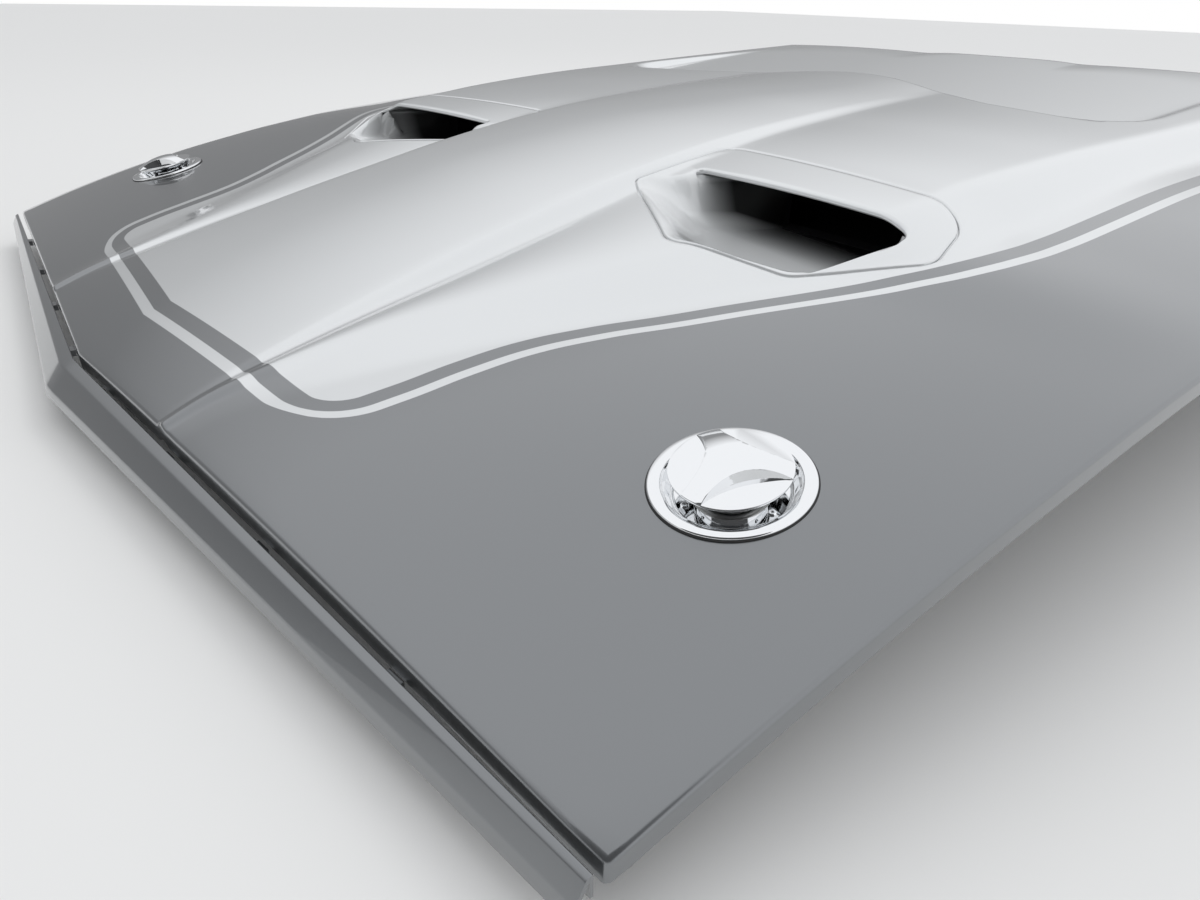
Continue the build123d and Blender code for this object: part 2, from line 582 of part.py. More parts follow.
def plate(face, bosses, corners=()):
    """A flat plate that wraps its bosses, as (pivot, radius), and its corners, as a Y and a Z."""
    with BuildSketch(Plane.YZ.offset(face)) as flat:
        for pivot, radius in bosses:
            with Locations(pivot_at(pivot)):
                Circle(radius)
        for corner in corners:
            with Locations(corner):
                Circle(PIN_PLAY)
        make_hull()
    extrude(flat.sketch, amount=PLATE)


web = REAR_HALF - WEB_INSIDE
outer_face = web + PLATE + PLATE_GAP
inner_face = web - PLATE_GAP - PLATE
pin_hole = PIN_RADIUS + PIN_PLAY
stud_end = web + SPRING_OUT + STUD_END
with BuildPart() as rear_link:
    plate(outer_face, ((BASE_REAR, BOSS), (STRAP_REAR, BOSS)))
    plate(outer_face, ((BASE_REAR, BOSS), (SPRING_REAR, EAR)))
    stud(SPRING_REAR, outer_face + PLATE / 2, stud_end)
    for pivot in (BASE_REAR, STRAP_REAR):
        with Locations((outer_face, *pivot_at(pivot))):
            Cylinder(pin_hole, 2 * PLATE, rotation=(0, 90, 0), mode=Mode.SUBTRACT)
save_pair(rear_link.part, "hinge_rear_link")
with BuildPart() as front_link:
    plate(inner_face, ((BASE_FRONT, BOSS), (STRAP_FRONT, OPEN_BOSS)))
    for pivot, hole in ((BASE_FRONT, pin_hole), (STRAP_FRONT, PIN_RADIUS + OPEN_PLAY)):
        with Locations((inner_face + PLATE / 2, *pivot_at(pivot))):
            Cylinder(hole, 2 * PLATE, rotation=(0, 90, 0), mode=Mode.SUBTRACT)
save_pair(front_link.part, "hinge_front_link")

# hinge_base: a bolted foot and a web with two pins and the spring's front stud
foot_front = at(REAR - FOOT_FRONT, 0)[0]
foot_rear = at(REAR - FOOT_REAR, 0)[0]
with BuildPart() as base:
    plate(web, ((BASE_REAR, BOSS), (BASE_FRONT, BOSS)),
          ((foot_front + PIN_PLAY, PIN_PLAY), (foot_rear - PIN_PLAY, PIN_PLAY)))
    with Locations((web + PLATE, (foot_front + foot_rear) / 2, 0)):
        Box(FOOT_WIDE, foot_rear - foot_front, PLATE, align=(Align.MAX, Align.CENTER, Align.MIN))
    with Locations(*[(web - BOLT_SET, side * BOLT_SPACING / 2, PLATE / 2) for side in (1, -1)]):
        Cylinder(BOLT_HOLE, 2 * PLATE, mode=Mode.SUBTRACT)
    cross_pin(BASE_REAR, web + PLATE, 1, HEAD_RADIUS)
    cross_pin(BASE_FRONT, web, -1, HEAD_RADIUS)
    stud(SPRING_FRONT, web + PLATE / 2, stud_end)
save_pair(base.part, "hinge_base")

# hinge_strap: a top that bolts under the rails and a web with the bonnet's two pins
strap_front = REAR - STRAP_FRONT_END
strap_rear = REAR - STRAP_REAR_END
strap_out = web + STRAP_SIDE
strap_plan = outline([(web, strap_front), (strap_out, strap_front), (strap_out, strap_rear), (web, strap_rear)], 0)
with BuildPart() as strap:
    plate(web, ((STRAP_REAR, BOSS), (STRAP_FRONT, BOSS)),
          ((at(strap_front + BOSS, 0)[0], FORM_TOP), (at(strap_rear, 0)[0], FORM_TOP)))
    add(lower(FORM, under_rail), mode=Mode.INTERSECT)
    add(pressed(strap_plan, under_rail, under_rail + PLATE))
    cross_pin(STRAP_REAR, web + PLATE, 1, HEAD_RADIUS)
    cross_pin(STRAP_FRONT, web, -1, OPEN_HEAD)
save_pair(strap.part, "hinge_strap")

# hinge_spring: the coil as one round bar, with an eye round the stud at each end
(front_y, front_z), (end_y, end_z) = pivot_at(SPRING_FRONT), pivot_at(SPRING_REAR)
spring_line = Edge.make_line((web + SPRING_OUT, front_y, front_z), (web + SPRING_OUT, end_y, end_z))
spring_plane = Plane(spring_line @ 0.5, x_dir=(1, 0, 0), z_dir=spring_line % 0.5)
eye = STUD_RADIUS + BOND + WIRE
with BuildPart() as spring:
    with BuildSketch(spring_plane):
        Circle(SPRING_RADIUS)
    extrude(amount=SPRING_LONG / 2, both=True)
    chamfer(spring.edges(), SPRING_RADIUS - 2 * WIRE, 2 * WIRE)
    with BuildSketch(spring_plane):
        Circle(WIRE)
    extrude(amount=spring_line.length / 2 - eye, both=True)
    for end in (0, 1):
        with BuildSketch(Plane(spring_line @ end, x_dir=spring_line % 0.5, z_dir=spring_plane.y_dir)) as ring:
            with Locations((eye, 0)):
                Circle(WIRE)
        revolve(axis=Axis(spring_line @ end, (1, 0, 0)))
save_pair(spring.part, "hinge_spring")
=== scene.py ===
import json
from math import atan2, cos, hypot, pi, radians, sin, tan

import bpy
import numpy as np
from mathutils import Matrix, Vector


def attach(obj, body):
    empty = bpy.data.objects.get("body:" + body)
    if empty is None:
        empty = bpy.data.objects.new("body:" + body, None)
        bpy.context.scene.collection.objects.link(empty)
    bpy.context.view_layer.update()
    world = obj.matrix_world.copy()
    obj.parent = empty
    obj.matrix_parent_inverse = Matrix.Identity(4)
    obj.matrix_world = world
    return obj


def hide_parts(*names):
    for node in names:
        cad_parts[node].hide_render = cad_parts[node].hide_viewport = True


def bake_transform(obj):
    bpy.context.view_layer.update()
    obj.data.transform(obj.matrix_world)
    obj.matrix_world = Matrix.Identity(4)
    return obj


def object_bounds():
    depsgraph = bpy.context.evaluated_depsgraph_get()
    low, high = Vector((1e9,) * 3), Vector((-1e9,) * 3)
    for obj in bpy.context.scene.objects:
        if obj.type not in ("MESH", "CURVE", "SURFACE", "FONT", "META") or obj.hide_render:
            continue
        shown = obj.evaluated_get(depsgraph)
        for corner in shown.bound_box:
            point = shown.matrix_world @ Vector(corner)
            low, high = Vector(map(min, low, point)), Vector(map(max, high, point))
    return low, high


# The frame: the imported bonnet, in metres, X to the car's left, Y to the rear, Z up, at rest, which is shut.
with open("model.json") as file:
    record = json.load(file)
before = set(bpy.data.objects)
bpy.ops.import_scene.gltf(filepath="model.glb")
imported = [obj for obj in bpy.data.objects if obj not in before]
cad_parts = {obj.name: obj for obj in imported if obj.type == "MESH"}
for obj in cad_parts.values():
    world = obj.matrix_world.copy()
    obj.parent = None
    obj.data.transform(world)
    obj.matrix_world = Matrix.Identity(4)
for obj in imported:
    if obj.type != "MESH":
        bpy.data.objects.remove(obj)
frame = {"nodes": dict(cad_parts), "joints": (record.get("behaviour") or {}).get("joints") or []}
cad_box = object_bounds()
scene = bpy.context.scene
scene.view_settings.view_transform = "Standard"

# bonnet_panel: the pressed outer panel with its raised centre, flanks, shoulders and the field sunk before the
# windscreen. One sheet of painted steel, its hem turned down all round, with holes for both inserts and locks.
# Sizes are in millimetres: a station is a distance behind the nose's two corners and a height is above them.
ORIGIN_STATION = 1275.0
ORIGIN_HEIGHT = -14.0
SKIN = 2.0
HEM = 14.0
NOSE_HALF = 700.0
NOSE_APEX = 56.0
REAR_HALF = 732.0
REAR = 1498.0
REAR_BOW = 16.0
FULL_STATION = 1000.0
SIDE_FLARE = (0.062, 3e-5)                # how the half width grows with the station, and how that growth fades
EDGE_ROLL = 3.0
BACK_ROLL = 7.0
NOSE_ROUND = 5.0
REAR_ROUND = 14.0
SECTIONS = (
    # station, flare and height of the edge, foot of the raised part, shoulder, foot of the step,
    # edge of the plateau, height of the middle
    (-75, (-4, -25), (240, -2), (216, 0), (205, 0), (194, 0), 3),
    (0, (0, 0), (240, 28), (215, 30), (202, 30), (191, 31), 35),
    (65, (4, 21), (267, 44.5), (226, 48.5), (199, 47), (186, 50.5), 55),
    (130, (8, 39.5), (294, 58), (242, 65), (197, 63), (181, 69), 74.5),
    (250, (13.5, 68), (350, 79.5), (286, 92.5), (193.5, 90), (173.5, 101), 107.5),
    (330, (17.5, 83.5), (396, 93.5), (322, 111), (191, 108), (169.5, 120), 127),
    (410, (20.5, 97.5), (444, 109), (360, 129.5), (189, 126), (165.5, 138.5), 145.5),
    (500, (24, 110), (508, 131), (444, 152), (185, 147), (163, 156), 163),
    (610, (27, 121), (514, 143), (458, 168), (181, 167), (160, 173), 180),
    (780, (31, 135), (519, 161), (472, 184), (176, 186), (156, 190), 197),
    (1020, (32, 147), (527, 170), (489, 197), (170, 203), (151, 204), 211),
    (1540, (32, 165), (531, 186), (496, 224), (160, 229), (140, 229), 234),
)
SHEET_CROWN = 4.0
FLANK_CROWN = 3.0
BEYOND = 30.0                             # how far the side sheet's slope is carried on past its edge
CREASE_ROUND = (5.0, 8.0, 11.0, 12.0)     # half widths of the rounded creases, from the middle outward
CREASE_SHARE = 0.45                       # the most that a rounding takes of the strip beside it
FIELD_FRONT = ((0, 1135), (262, 1008), (428, 973), (800, 930))
FIELD_ROUND = (87, 20, 20)
FIELD_SIDE = ((973, 428), (1598, 440))
FIELD_CORNER = 70.0
FIELD_RISE = ((1054, 192.0), (1440, 226.0))
FIELD_PITCH = 0.088                       # the field's slope along the car, before and behind those stations
FIELD_SLANT = 0.93                        # cosine of its front edge's slant
FIELD_SLOPE = 0.54                        # slope of the bank that rises round it
FIELD_FOOT = 9.0
FIELD_CREST = 1.6


def placed(sideways, station, height):
    """Frame coordinates, in metres, of places in the tables."""
    along = np.asarray(station) - ORIGIN_STATION
    up = np.asarray(height) - ORIGIN_HEIGHT
    return np.stack(np.broadcast_arrays(sideways, along, up), axis=-1) / 1000


def eased(stations, values, station):
    """A curve without kinks through a table's values."""
    slopes = np.gradient(values, stations)
    row = np.clip(np.searchsorted(stations, station) - 1, 0, len(stations) - 2)
    span = stations[row + 1] - stations[row]
    t = (station - stations[row]) / span
    return ((2 * t**3 - 3 * t**2 + 1) * values[row] + (3 * t**2 - 2 * t**3) * values[row + 1]
            + span * ((t**3 - 2 * t**2 + t) * slopes[row] + (t**3 - t**2) * slopes[row + 1]))


def rounding(distance, reach):
    """What rounds a kink by one in slope, within a reach of it."""
    return np.maximum(reach - np.abs(distance), 0) ** 2 / (4 * reach)


def crease_reaches(gaps):
    """Half widths of the rounded creases, kept within the strips beside them."""
    limits = CREASE_SHARE * np.minimum(gaps[1:], gaps[:-1])
    return [np.minimum(most, limit) for most, limit in zip(CREASE_ROUND, limits)]


table_stations = np.array([row[0] for row in SECTIONS], float)
table_places = []
table_heights = []
for station, (flare, edge), foot, shoulder, step, plateau, middle in SECTIONS:
    rim_fall = BEYOND * (foot[1] - edge) / (NOSE_HALF + flare - foot[0])
    table_places.append((0, plateau[0], step[0], shoulder[0], foot[0], NOSE_HALF + flare + BEYOND))
    table_heights.append((middle, plateau[1], step[1], shoulder[1], foot[1], edge - rim_fall))
table_places = np.array(table_places, float).T
table_heights = np.array(table_heights, float).T


def field_front(x):
    """Station of the sunk field's front edge, its corners rounded."""
    line = np.interp(x, *zip(*FIELD_FRONT))
    slopes = [(b[1] - a[1]) / (b[0] - a[0]) for a, b in zip(FIELD_FRONT, FIELD_FRONT[1:])]
    slopes.insert(0, -slopes[0])
    for (corner, _), reach, before, after in zip(FIELD_FRONT, FIELD_ROUND, slopes, slopes[1:]):
        line = line + (after - before) * rounding(x - corner, reach)
    return line


def height(sideways, station):
    """Height of the panel's outer surface."""
    x = np.abs(sideways)
    places = np.array([eased(table_stations, column, station) for column in table_places])
    levels = np.array([eased(table_stations, column, station) for column in table_heights])
    wide = np.diff(places, axis=0)
    rise = np.diff(levels, axis=0)
    bows = np.zeros_like(rise)
    bows[0] = -rise[0] / 4
    bows[2] = FLANK_CROWN
    bows[4] = SHEET_CROWN
    run = np.clip((x - places[:-1]) / wide, 0, 1)
    surface = levels[0] + np.sum(rise * run + 4 * bows * run * (1 - run), axis=0)
    for crease, reach in enumerate(crease_reaches(wide), start=1):
        before = (rise[crease - 1] - 4 * bows[crease - 1]) / wide[crease - 1]
        after = (rise[crease] + 4 * bows[crease]) / wide[crease]
        surface += (after - before) * rounding(x - places[crease], reach)
    (first, _), (last, _) = FIELD_RISE
    field = np.interp(station, *zip(*FIELD_RISE))
    field += FIELD_PITCH * (np.maximum(station - last, 0) - np.maximum(first - station, 0))
    ahead = (field_front(x) - station) * FIELD_SLANT
    beside = x - np.interp(station, *zip(*FIELD_SIDE))
    outside = np.hypot(np.maximum(ahead + FIELD_CORNER, 0), np.maximum(beside + FIELD_CORNER, 0))
    outside += np.minimum(np.maximum(ahead, beside) + FIELD_CORNER, 0) - FIELD_CORNER
    sunk = field + FIELD_SLOPE * (np.maximum(outside, 0) + rounding(outside, FIELD_FOOT))
    return np.minimum(surface, sunk) - rounding(surface - sunk, FIELD_CREST)


def side_line(station):
    """Half the panel's width."""
    s = np.clip(station, 0, FULL_STATION)
    return NOSE_HALF + SIDE_FLARE[0] * s - SIDE_FLARE[1] * s**2


def nose_line(x):
    return -NOSE_APEX * (1 - x / NOSE_HALF)


def rear_line(x):
    return REAR - REAR_BOW * (1 - (x / REAR_HALF) ** 2)


# The finishes: shader maths is written on values, each of which wraps a socket.
class Value:
    def __init__(self, socket):
        self.socket = socket

    @classmethod
    def add(cls, tree, kind, inputs=None, output=0, **settings):
        """Adds a node, sets and links its inputs by name or number, and wraps one of its outputs."""
        node = tree.nodes.new(kind)
        for name, setting in settings.items():
            setattr(node, name, setting)
        for key, given in (inputs or {}).items():
            if isinstance(given, cls):
                tree.links.new(given.socket, node.inputs[key])
            else:
                node.inputs[key].default_value = given
        return cls(node.outputs[output])

    def _math(self, operation, *inputs):
        return Value.add(self.socket.id_data, "ShaderNodeMath", dict(enumerate(inputs)), operation=operation)

    def __add__(self, other):
        return self._math("ADD", self, other)

    __radd__ = __add__

    def __sub__(self, other):
        return self._math("SUBTRACT", self, other)

    def __rsub__(self, other):
        return self._math("SUBTRACT", other, self)

    def __mul__(self, other):
        return self._math("MULTIPLY", self, other)

    __rmul__ = __mul__

    def __truediv__(self, other):
        return self._math("DIVIDE", self, other)

    def __abs__(self):
        return self._math("ABSOLUTE", self)

    def above(self, other):
        return self._math("MAXIMUM", self, other)

    def below(self, other):
        return self._math("MINIMUM", self, other)

    def square_root(self):
        return self._math("SQRT", self)

    def edge(self, place, soft):
        """Nought below a place and one above it, with a soft step."""
        return ((self - place) / soft + 0.5).above(0).below(1)


class Paint:
    """A material on the Principled shader; its object's coordinates are at hand as values."""

    def __init__(self, name, colour, rough, metal=0.0, coat=0.0, coat_rough=0.03):
        self.material = bpy.data.materials.new(name)
        self.material.use_nodes = True
        self.tree = self.material.node_tree
        self.shader = self.tree.nodes["Principled BSDF"]
        self.set(**{"Base Color": (*colour, 1), "Roughness": rough, "Metallic": metal, "Coat Weight": coat,
                    "Coat Roughness": coat_rough})
        self.place = Value.add(self.tree, "ShaderNodeTexCoord", output="Object")
        split = Value.add(self.tree, "ShaderNodeSeparateXYZ", {0: self.place})
        self.x, self.y, self.z = (Value(output) for output in split.socket.node.outputs)

    def set(self, **inputs):
        for key, given in inputs.items():
            if isinstance(given, Value):
                self.tree.links.new(given.socket, self.shader.inputs[key])
            else:
                self.shader.inputs[key].default_value = given

    def noise(self, scale, detail=2.0):
        inputs = {"Vector": self.place, "Scale": scale, "Detail": detail}
        return Value.add(self.tree, "ShaderNodeTexNoise", inputs)

    def mix(self, share, first, second):
        """A colour between two colours."""
        return Value.add(self.tree, "ShaderNodeMix", {0: share, 6: (*first, 1), 7: (*second, 1)}, output=2,
                         data_type="RGBA")

    def bump(self, level, reach):
        inputs = {"Height": level, "Distance": reach, "Strength": 1.0}
        self.set(Normal=Value.add(self.tree, "ShaderNodeBump", inputs))


# The stripe: a silver panel over the middle, a gap of the charcoal and a fine silver line outside it.
CHARCOAL = (0.21, 0.219, 0.227)
SILVER = (0.72, 0.735, 0.74)
CHARCOAL_METAL = 0.85
SILVER_METAL = 0.5
CHARCOAL_ROUGH = 0.28
SILVER_ROUGH = 0.3
STRIPE_HALF = (
    # station, half the stripe's width
    (-80, 270), (20, 300), (50, 328), (100, 345), (150, 354), (200, 366), (250, 390), (300, 422), (350, 453),
    (400, 487), (450, 522), (500, 551), (550, 565), (600, 570), (650, 573), (760, 577), (1560, 583),
)
STRIPE_FRONT = (5.0, 23.0 / 280)          # station of its front at the middle, and its slope
STRIPE_SLANT = 0.93                       # cosine of its sides' slant
STRIPE_CORNER = 50.0
LINE_WIDE = 10.0
GAP_WIDE = 16.0
STRIPE_EDGE = 0.6


def striped(paint):
    """How far inside the stripe's outer edge a point lies, in metres."""
    station = paint.y + ORIGIN_STATION / 1000
    x = abs(paint.x)
    first, last = STRIPE_HALF[0][0], STRIPE_HALF[-1][0]
    curve = paint.tree.nodes.new("ShaderNodeFloatCurve")
    points = curve.mapping.curves[0].points
    for number, (at, half) in enumerate(STRIPE_HALF):
        spot = ((at - first) / (last - first), half / 1000)
        if number < 2:
            points[number].location = spot
        else:
            points.new(*spot)
    for point in points:
        point.handle_type = "AUTO"
    curve.mapping.update()
    paint.tree.links.new(((station - first / 1000) / ((last - first) / 1000)).socket, curve.inputs["Value"])
    beside = (Value(curve.outputs[0]) - x) * STRIPE_SLANT
    behind = station - (STRIPE_FRONT[0] / 1000 + x * STRIPE_FRONT[1])
    corner = STRIPE_CORNER / 1000
    u = (corner - beside).above(0)
    v = (corner - behind).above(0)
    return corner - (u * u + v * v).square_root() + (beside.below(behind) - corner).above(0)


def stripe_mask(paint):
    inside = striped(paint)
    line_out, line_in, panel = (inside.edge(place / 1000, STRIPE_EDGE / 1000)
                                for place in (0, LINE_WIDE, LINE_WIDE + GAP_WIDE))
    return (line_out * (1 - line_in)).above(panel)


bonnet_paint = Paint("bonnet_paint", CHARCOAL, CHARCOAL_ROUGH, metal=CHARCOAL_METAL, coat=1.0)
silver = stripe_mask(bonnet_paint)
bonnet_paint.set(**{"Base Color": bonnet_paint.mix(silver, CHARCOAL, SILVER),
                    "Metallic": silver * (SILVER_METAL - CHARCOAL_METAL) + CHARCOAL_METAL})
under_paint = Paint("under_paint", (0.03, 0.032, 0.035), 0.45)
under_paint.set(Roughness=under_paint.noise(9.0, detail=5.0) * 0.4 + 0.25)


# The ways in which the meshes are made, cut, joined and finished.
def selected(piece):
    bpy.ops.object.select_all(action="DESELECT")
    piece.select_set(True)
    bpy.context.view_layer.objects.active = piece


def edited(piece, *steps):
    """Runs edit mode steps, each an operator and its settings, on all of a mesh."""
    selected(piece)
    bpy.ops.object.mode_set(mode="EDIT")
    bpy.ops.mesh.select_all(action="SELECT")
    for step, settings in steps:
        step(**settings)
    bpy.ops.object.mode_set(mode="OBJECT")


OUTWARD = (bpy.ops.mesh.normals_make_consistent, {"inside": False})
FILLED = (bpy.ops.mesh.fill_holes, {"sides": 0})


def modified(piece, kind, **settings):
    """Adds a modifier and applies it."""
    selected(piece)
    bpy.ops.object.modifier_add(type=kind)
    modifier = piece.modifiers[-1]
    for name, setting in settings.items():
        setattr(modifier, name, setting)
    bpy.ops.object.modifier_apply(modifier=modifier.name)


def sheet(name, points, *paints):
    """A mesh with one vertex for each place in rows and columns of frame coordinates."""
    rows, columns = points.shape[:2]
    bpy.ops.mesh.primitive_grid_add(x_subdivisions=columns - 1, y_subdivisions=rows - 1)
    piece = bpy.context.object
    piece.name = name
    piece.data.name = name
    piece.data.vertices.foreach_set("co", points.reshape(-1))
    piece.data.update()
    edited(piece, (bpy.ops.mesh.remove_doubles, {"threshold": 0.00001}))
    for paint in paints:
        piece.data.materials.append(paint.material)
    return piece


def joined(pieces):
    bpy.ops.object.select_all(action="DESELECT")
    for piece in pieces:
        piece.select_set(True)
    bpy.context.view_layer.objects.active = pieces[0]
    bpy.ops.object.join()
    return bpy.context.object


def cut(piece, tool):
    """Cuts one piece's shape out of another."""
    modified(piece, "BOOLEAN", operation="DIFFERENCE", solver="EXACT", object=tool)
    bpy.data.objects.remove(tool, do_unlink=True)


def mirrored(piece, name):
    """A copy of a left piece for the right side."""
    selected(piece)
    bpy.ops.object.duplicate()
    twin = bpy.context.object
    twin.name = name
    twin.data.name = name
    twin.data.transform(Matrix.Scale(-1, 4, (1, 0, 0)))
    twin.data.flip_normals()
    return twin


def finished(piece, body, nodes, angle=35):
    """Smooths a piece, ties it to its body and hides the nodes that it stands for."""
    selected(piece)
    bpy.ops.object.shade_smooth_by_angle(angle=radians(angle))
    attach(piece, body)
    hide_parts(*nodes)
    return piece


def rounded_path(corners, steps=8, grow=0.0):
    """A closed path whose corners, each (across, along, radius), are rounded; grow widens the arcs."""
    table = np.array(corners, float)
    path = []
    for number, (x, y, radius) in enumerate(table):
        here = np.array((x, y))
        back = table[number - 1, :2] - here
        ahead = table[(number + 1) % len(table), :2] - here
        back /= hypot(*back)
        ahead /= hypot(*ahead)
        half = np.arccos(np.clip(back @ ahead, -1, 1)) / 2
        centre = here + (back + ahead) / hypot(*(back + ahead)) * radius / sin(half)
        start = here + back * radius / tan(half) - centre
        end = here + ahead * radius / tan(half) - centre
        first = atan2(start[1], start[0])
        turn = (atan2(end[1], end[0]) - first + pi) % (2 * pi) - pi
        angles = first + turn * np.linspace(0, 1, steps + 1)
        path += list(centre + (radius + grow) * np.stack([np.cos(angles), np.sin(angles)], axis=1))
    return np.array(path)


def ended(path):
    """A closed path with its first point again at its end."""
    return np.vstack([path, path[:1]])


def evenly(path, count):
    """Points spaced evenly round a closed path."""
    ring = ended(path)
    gone = np.concatenate([[0], np.cumsum(np.hypot(*np.diff(ring, axis=0).T))])
    marks = np.linspace(0, gone[-1], count, endpoint=False)
    return np.stack([np.interp(marks, gone, ring[:, axis]) for axis in (0, 1)], axis=1)


def under(plan, depth):
    """Frame coordinates of plan points at a depth under the panel's surface."""
    x, station = plan[..., 0], plan[..., 1]
    return placed(x, station, height(x, station) - depth)


def prism(points, low, high):
    """An upright prism over a plan outline."""
    bpy.ops.mesh.primitive_cylinder_add(vertices=len(points), depth=1)
    piece = bpy.context.object
    ends = np.stack([placed(points[:, 0], points[:, 1], level) for level in (low, high)], axis=1)
    piece.data.vertices.foreach_set("co", ends.reshape(-1))
    piece.data.update()
    edited(piece, OUTWARD)
    return piece


# The panel's mesh: its rows run between guide lines from the nose to the rear edge, and its columns between the
# creases, so that each crease and the field's front edge have mesh of their own.
GUIDES = (110.0, 330.0, 900.0, 1330.0)    # stations of the guide lines, the first of which follows the nose
GUIDE_BOW = 0.25
RIDGE_GUIDES = (-50.0, 20.0)              # two more, before and behind the field's front edge
ROW_COUNTS = (12, 24, 60, 12, 18, 22, 16)
COLUMNS = (
    # shares of the strip between two creases, and the columns between them, from the middle outward
    ((0, 1), (11,)),
    ((0, 1), (2,)),
    ((0, 0.80, 0.93, 1), (14, 9, 3)),
    ((0, 1), (2,)),
    ((0, 1), (20,)),
)
CREASE_COLUMNS = (-1, -0.5, 0, 0.5, 1)    # in shares of the crease's rounding
MESH_TURNS = 4                            # rows and columns depend on each other, and settle in these turns
ROLL_STEPS = 4


def guide_lines(x):
    """Stations of the lines that the rows follow."""
    front, middle, rear, last = GUIDES
    ridge = field_front(np.minimum(x, FIELD_FRONT[2][0]))
    level = np.zeros_like(x)
    return np.array((nose_line(x) + EDGE_ROLL, front + GUIDE_BOW * nose_line(x), level + middle, level + rear,
                     ridge + RIDGE_GUIDES[0], ridge + RIDGE_GUIDES[1], level + last, rear_line(x) - BACK_ROLL))


row_spots = [(strip, number / count) for strip, count in enumerate(ROW_COUNTS) for number in range(count)]
row_spots.append((len(ROW_COUNTS) - 1, 1.0))
row_line = np.array([spot[0] for spot in row_spots])
row_share = np.array([spot[1] for spot in row_spots])[:, None]

columns = []        # each as (strip, share of it, offset from the strip's inner crease)
for strip, (shares, counts) in enumerate(COLUMNS):
    if strip:
        columns += [(strip, None, offset) for offset in CREASE_COLUMNS]
    inner = [low + (high - low) * number / count
             for low, high, count in zip(shares, shares[1:], counts) for number in range(count)]
    columns += [(strip, share, 0) for share in (inner[1:] if strip else inner)]
columns.append((len(COLUMNS) - 1, 1.0, 0))


def column_places(station):
    """Sideways places of every column, at each column's own station."""
    result = np.empty_like(station)
    for number, (strip, share, offset) in enumerate(columns):
        s = station[:, number]
        places = [eased(table_stations, column, s) for column in table_places]
        places[-1] = side_line(s) - EDGE_ROLL
        level = np.zeros_like(s)
        reach = [level, *crease_reaches(np.diff(places, axis=0)), level]
        if share is None:
            result[:, number] = places[strip] + offset * reach[strip]
        else:
            low = places[strip] + reach[strip]
            high = places[strip + 1] - reach[strip + 1]
            result[:, number] = low + (high - low) * share
    return result


mesh_x = np.tile(np.linspace(0, NOSE_HALF, len(columns)), (len(row_spots), 1))
for turn in range(MESH_TURNS):
    lines = guide_lines(mesh_x)
    rows = np.arange(len(row_spots))
    mesh_s = lines[row_line, rows] * (1 - row_share) + lines[row_line + 1, rows] * row_share
    mesh_x = column_places(mesh_s)


def rolled(radius):
    """Outward reach and drop of an edge that rolls over, down to its hem."""
    turns = np.linspace(0, pi / 2, ROLL_STEPS + 1)[1:]
    reach = [radius * sin(turn) for turn in turns]
    drop = [radius * (1 - cos(turn)) for turn in turns]
    return reach + [radius], drop + [HEM]


edge_out, edge_drop = rolled(EDGE_ROLL)
back_out, back_drop = rolled(BACK_ROLL)
grown_x = np.hstack([mesh_x] + [mesh_x[:, -1:] + reach for reach in edge_out])
grown_s = np.hstack([mesh_s] + [mesh_s[:, -1:]] * len(edge_out))
drops = np.hstack([np.zeros_like(mesh_x)] + [np.full_like(mesh_x[:, -1:], drop) for drop in edge_drop])
front_rows = [(grown_s[:1] - reach, drop) for reach, drop in zip(edge_out, edge_drop)][::-1]
back_rows = [(grown_s[-1:] + reach, drop) for reach, drop in zip(back_out, back_drop)]
plan_s = np.vstack([row for row, _ in front_rows] + [grown_s] + [row for row, _ in back_rows])
plan_x = np.vstack([grown_x[:1]] * len(front_rows) + [grown_x] + [grown_x[-1:]] * len(back_rows))
falls = np.vstack([np.maximum(drops[:1], drop) for _, drop in front_rows] + [drops]
                  + [np.maximum(drops[-1:], drop) for _, drop in back_rows])
corners = ((NOSE_ROUND, plan_s - nose_line(plan_x), -1), (REAR_ROUND, rear_line(plan_x) - plan_s, 1))
for radius, ahead, towards in corners:
    u = radius - (side_line(plan_s) - plan_x)
    v = radius - ahead
    in_corner = (u > 0) & (v > 0)
    share = np.where(in_corner, np.maximum(u, v) / np.maximum(np.hypot(u, v), 1e-6), 1)
    plan_x = np.where(in_corner, plan_x - u + u * share, plan_x)
    plan_s = np.where(in_corner, plan_s + towards * (v * share - v), plan_s)
half = under(np.stack([plan_x, plan_s], axis=-1), falls)
other = half[:, :0:-1] * (-1, 1, 1)
panel = sheet("bonnet_panel", np.hstack([other, half]), bonnet_paint, under_paint)
modified(panel, "SOLIDIFY", thickness=SKIN / 1000, offset=-1, material_offset=1, material_offset_rim=1)

# Its holes: the locks' place comes from their joints, and the inserts' holes have a rounded edge of their own.
INSERT = ((316, 376, 35), (430, 408, 30), (513, 490, 25), (494, 564, 45), (178, 601, 20), (174, 462, 10))
INSERT_STEPS = 24
HOLE_GROWN = 2.8                          # how far the holes are cut outside their rounded edges
HOLE_EDGE = ((3.6, -0.03), (2.2, 0.04), (1.2, 0.32), (0.5, 0.85), (0.1, 1.5), (0, 2.2))     # growth and depth
HOLE_POINTS = 400
TOOL_HIGH = 300.0
LOCK_HOLE = 44.5
joints = {joint["name"]: joint for joint in frame["joints"]}
lock_up = Vector(joints["lock_turn_left"]["axis"]).normalized()
lock_across = Vector((lock_up.z, 0, -lock_up.x)).normalized()
lock_turn = Matrix((lock_across, lock_up.cross(lock_across), lock_up)).transposed().to_4x4()
lock_place = Matrix.Translation(joints["lock_turn_left"]["pos_m"]) @ lock_turn
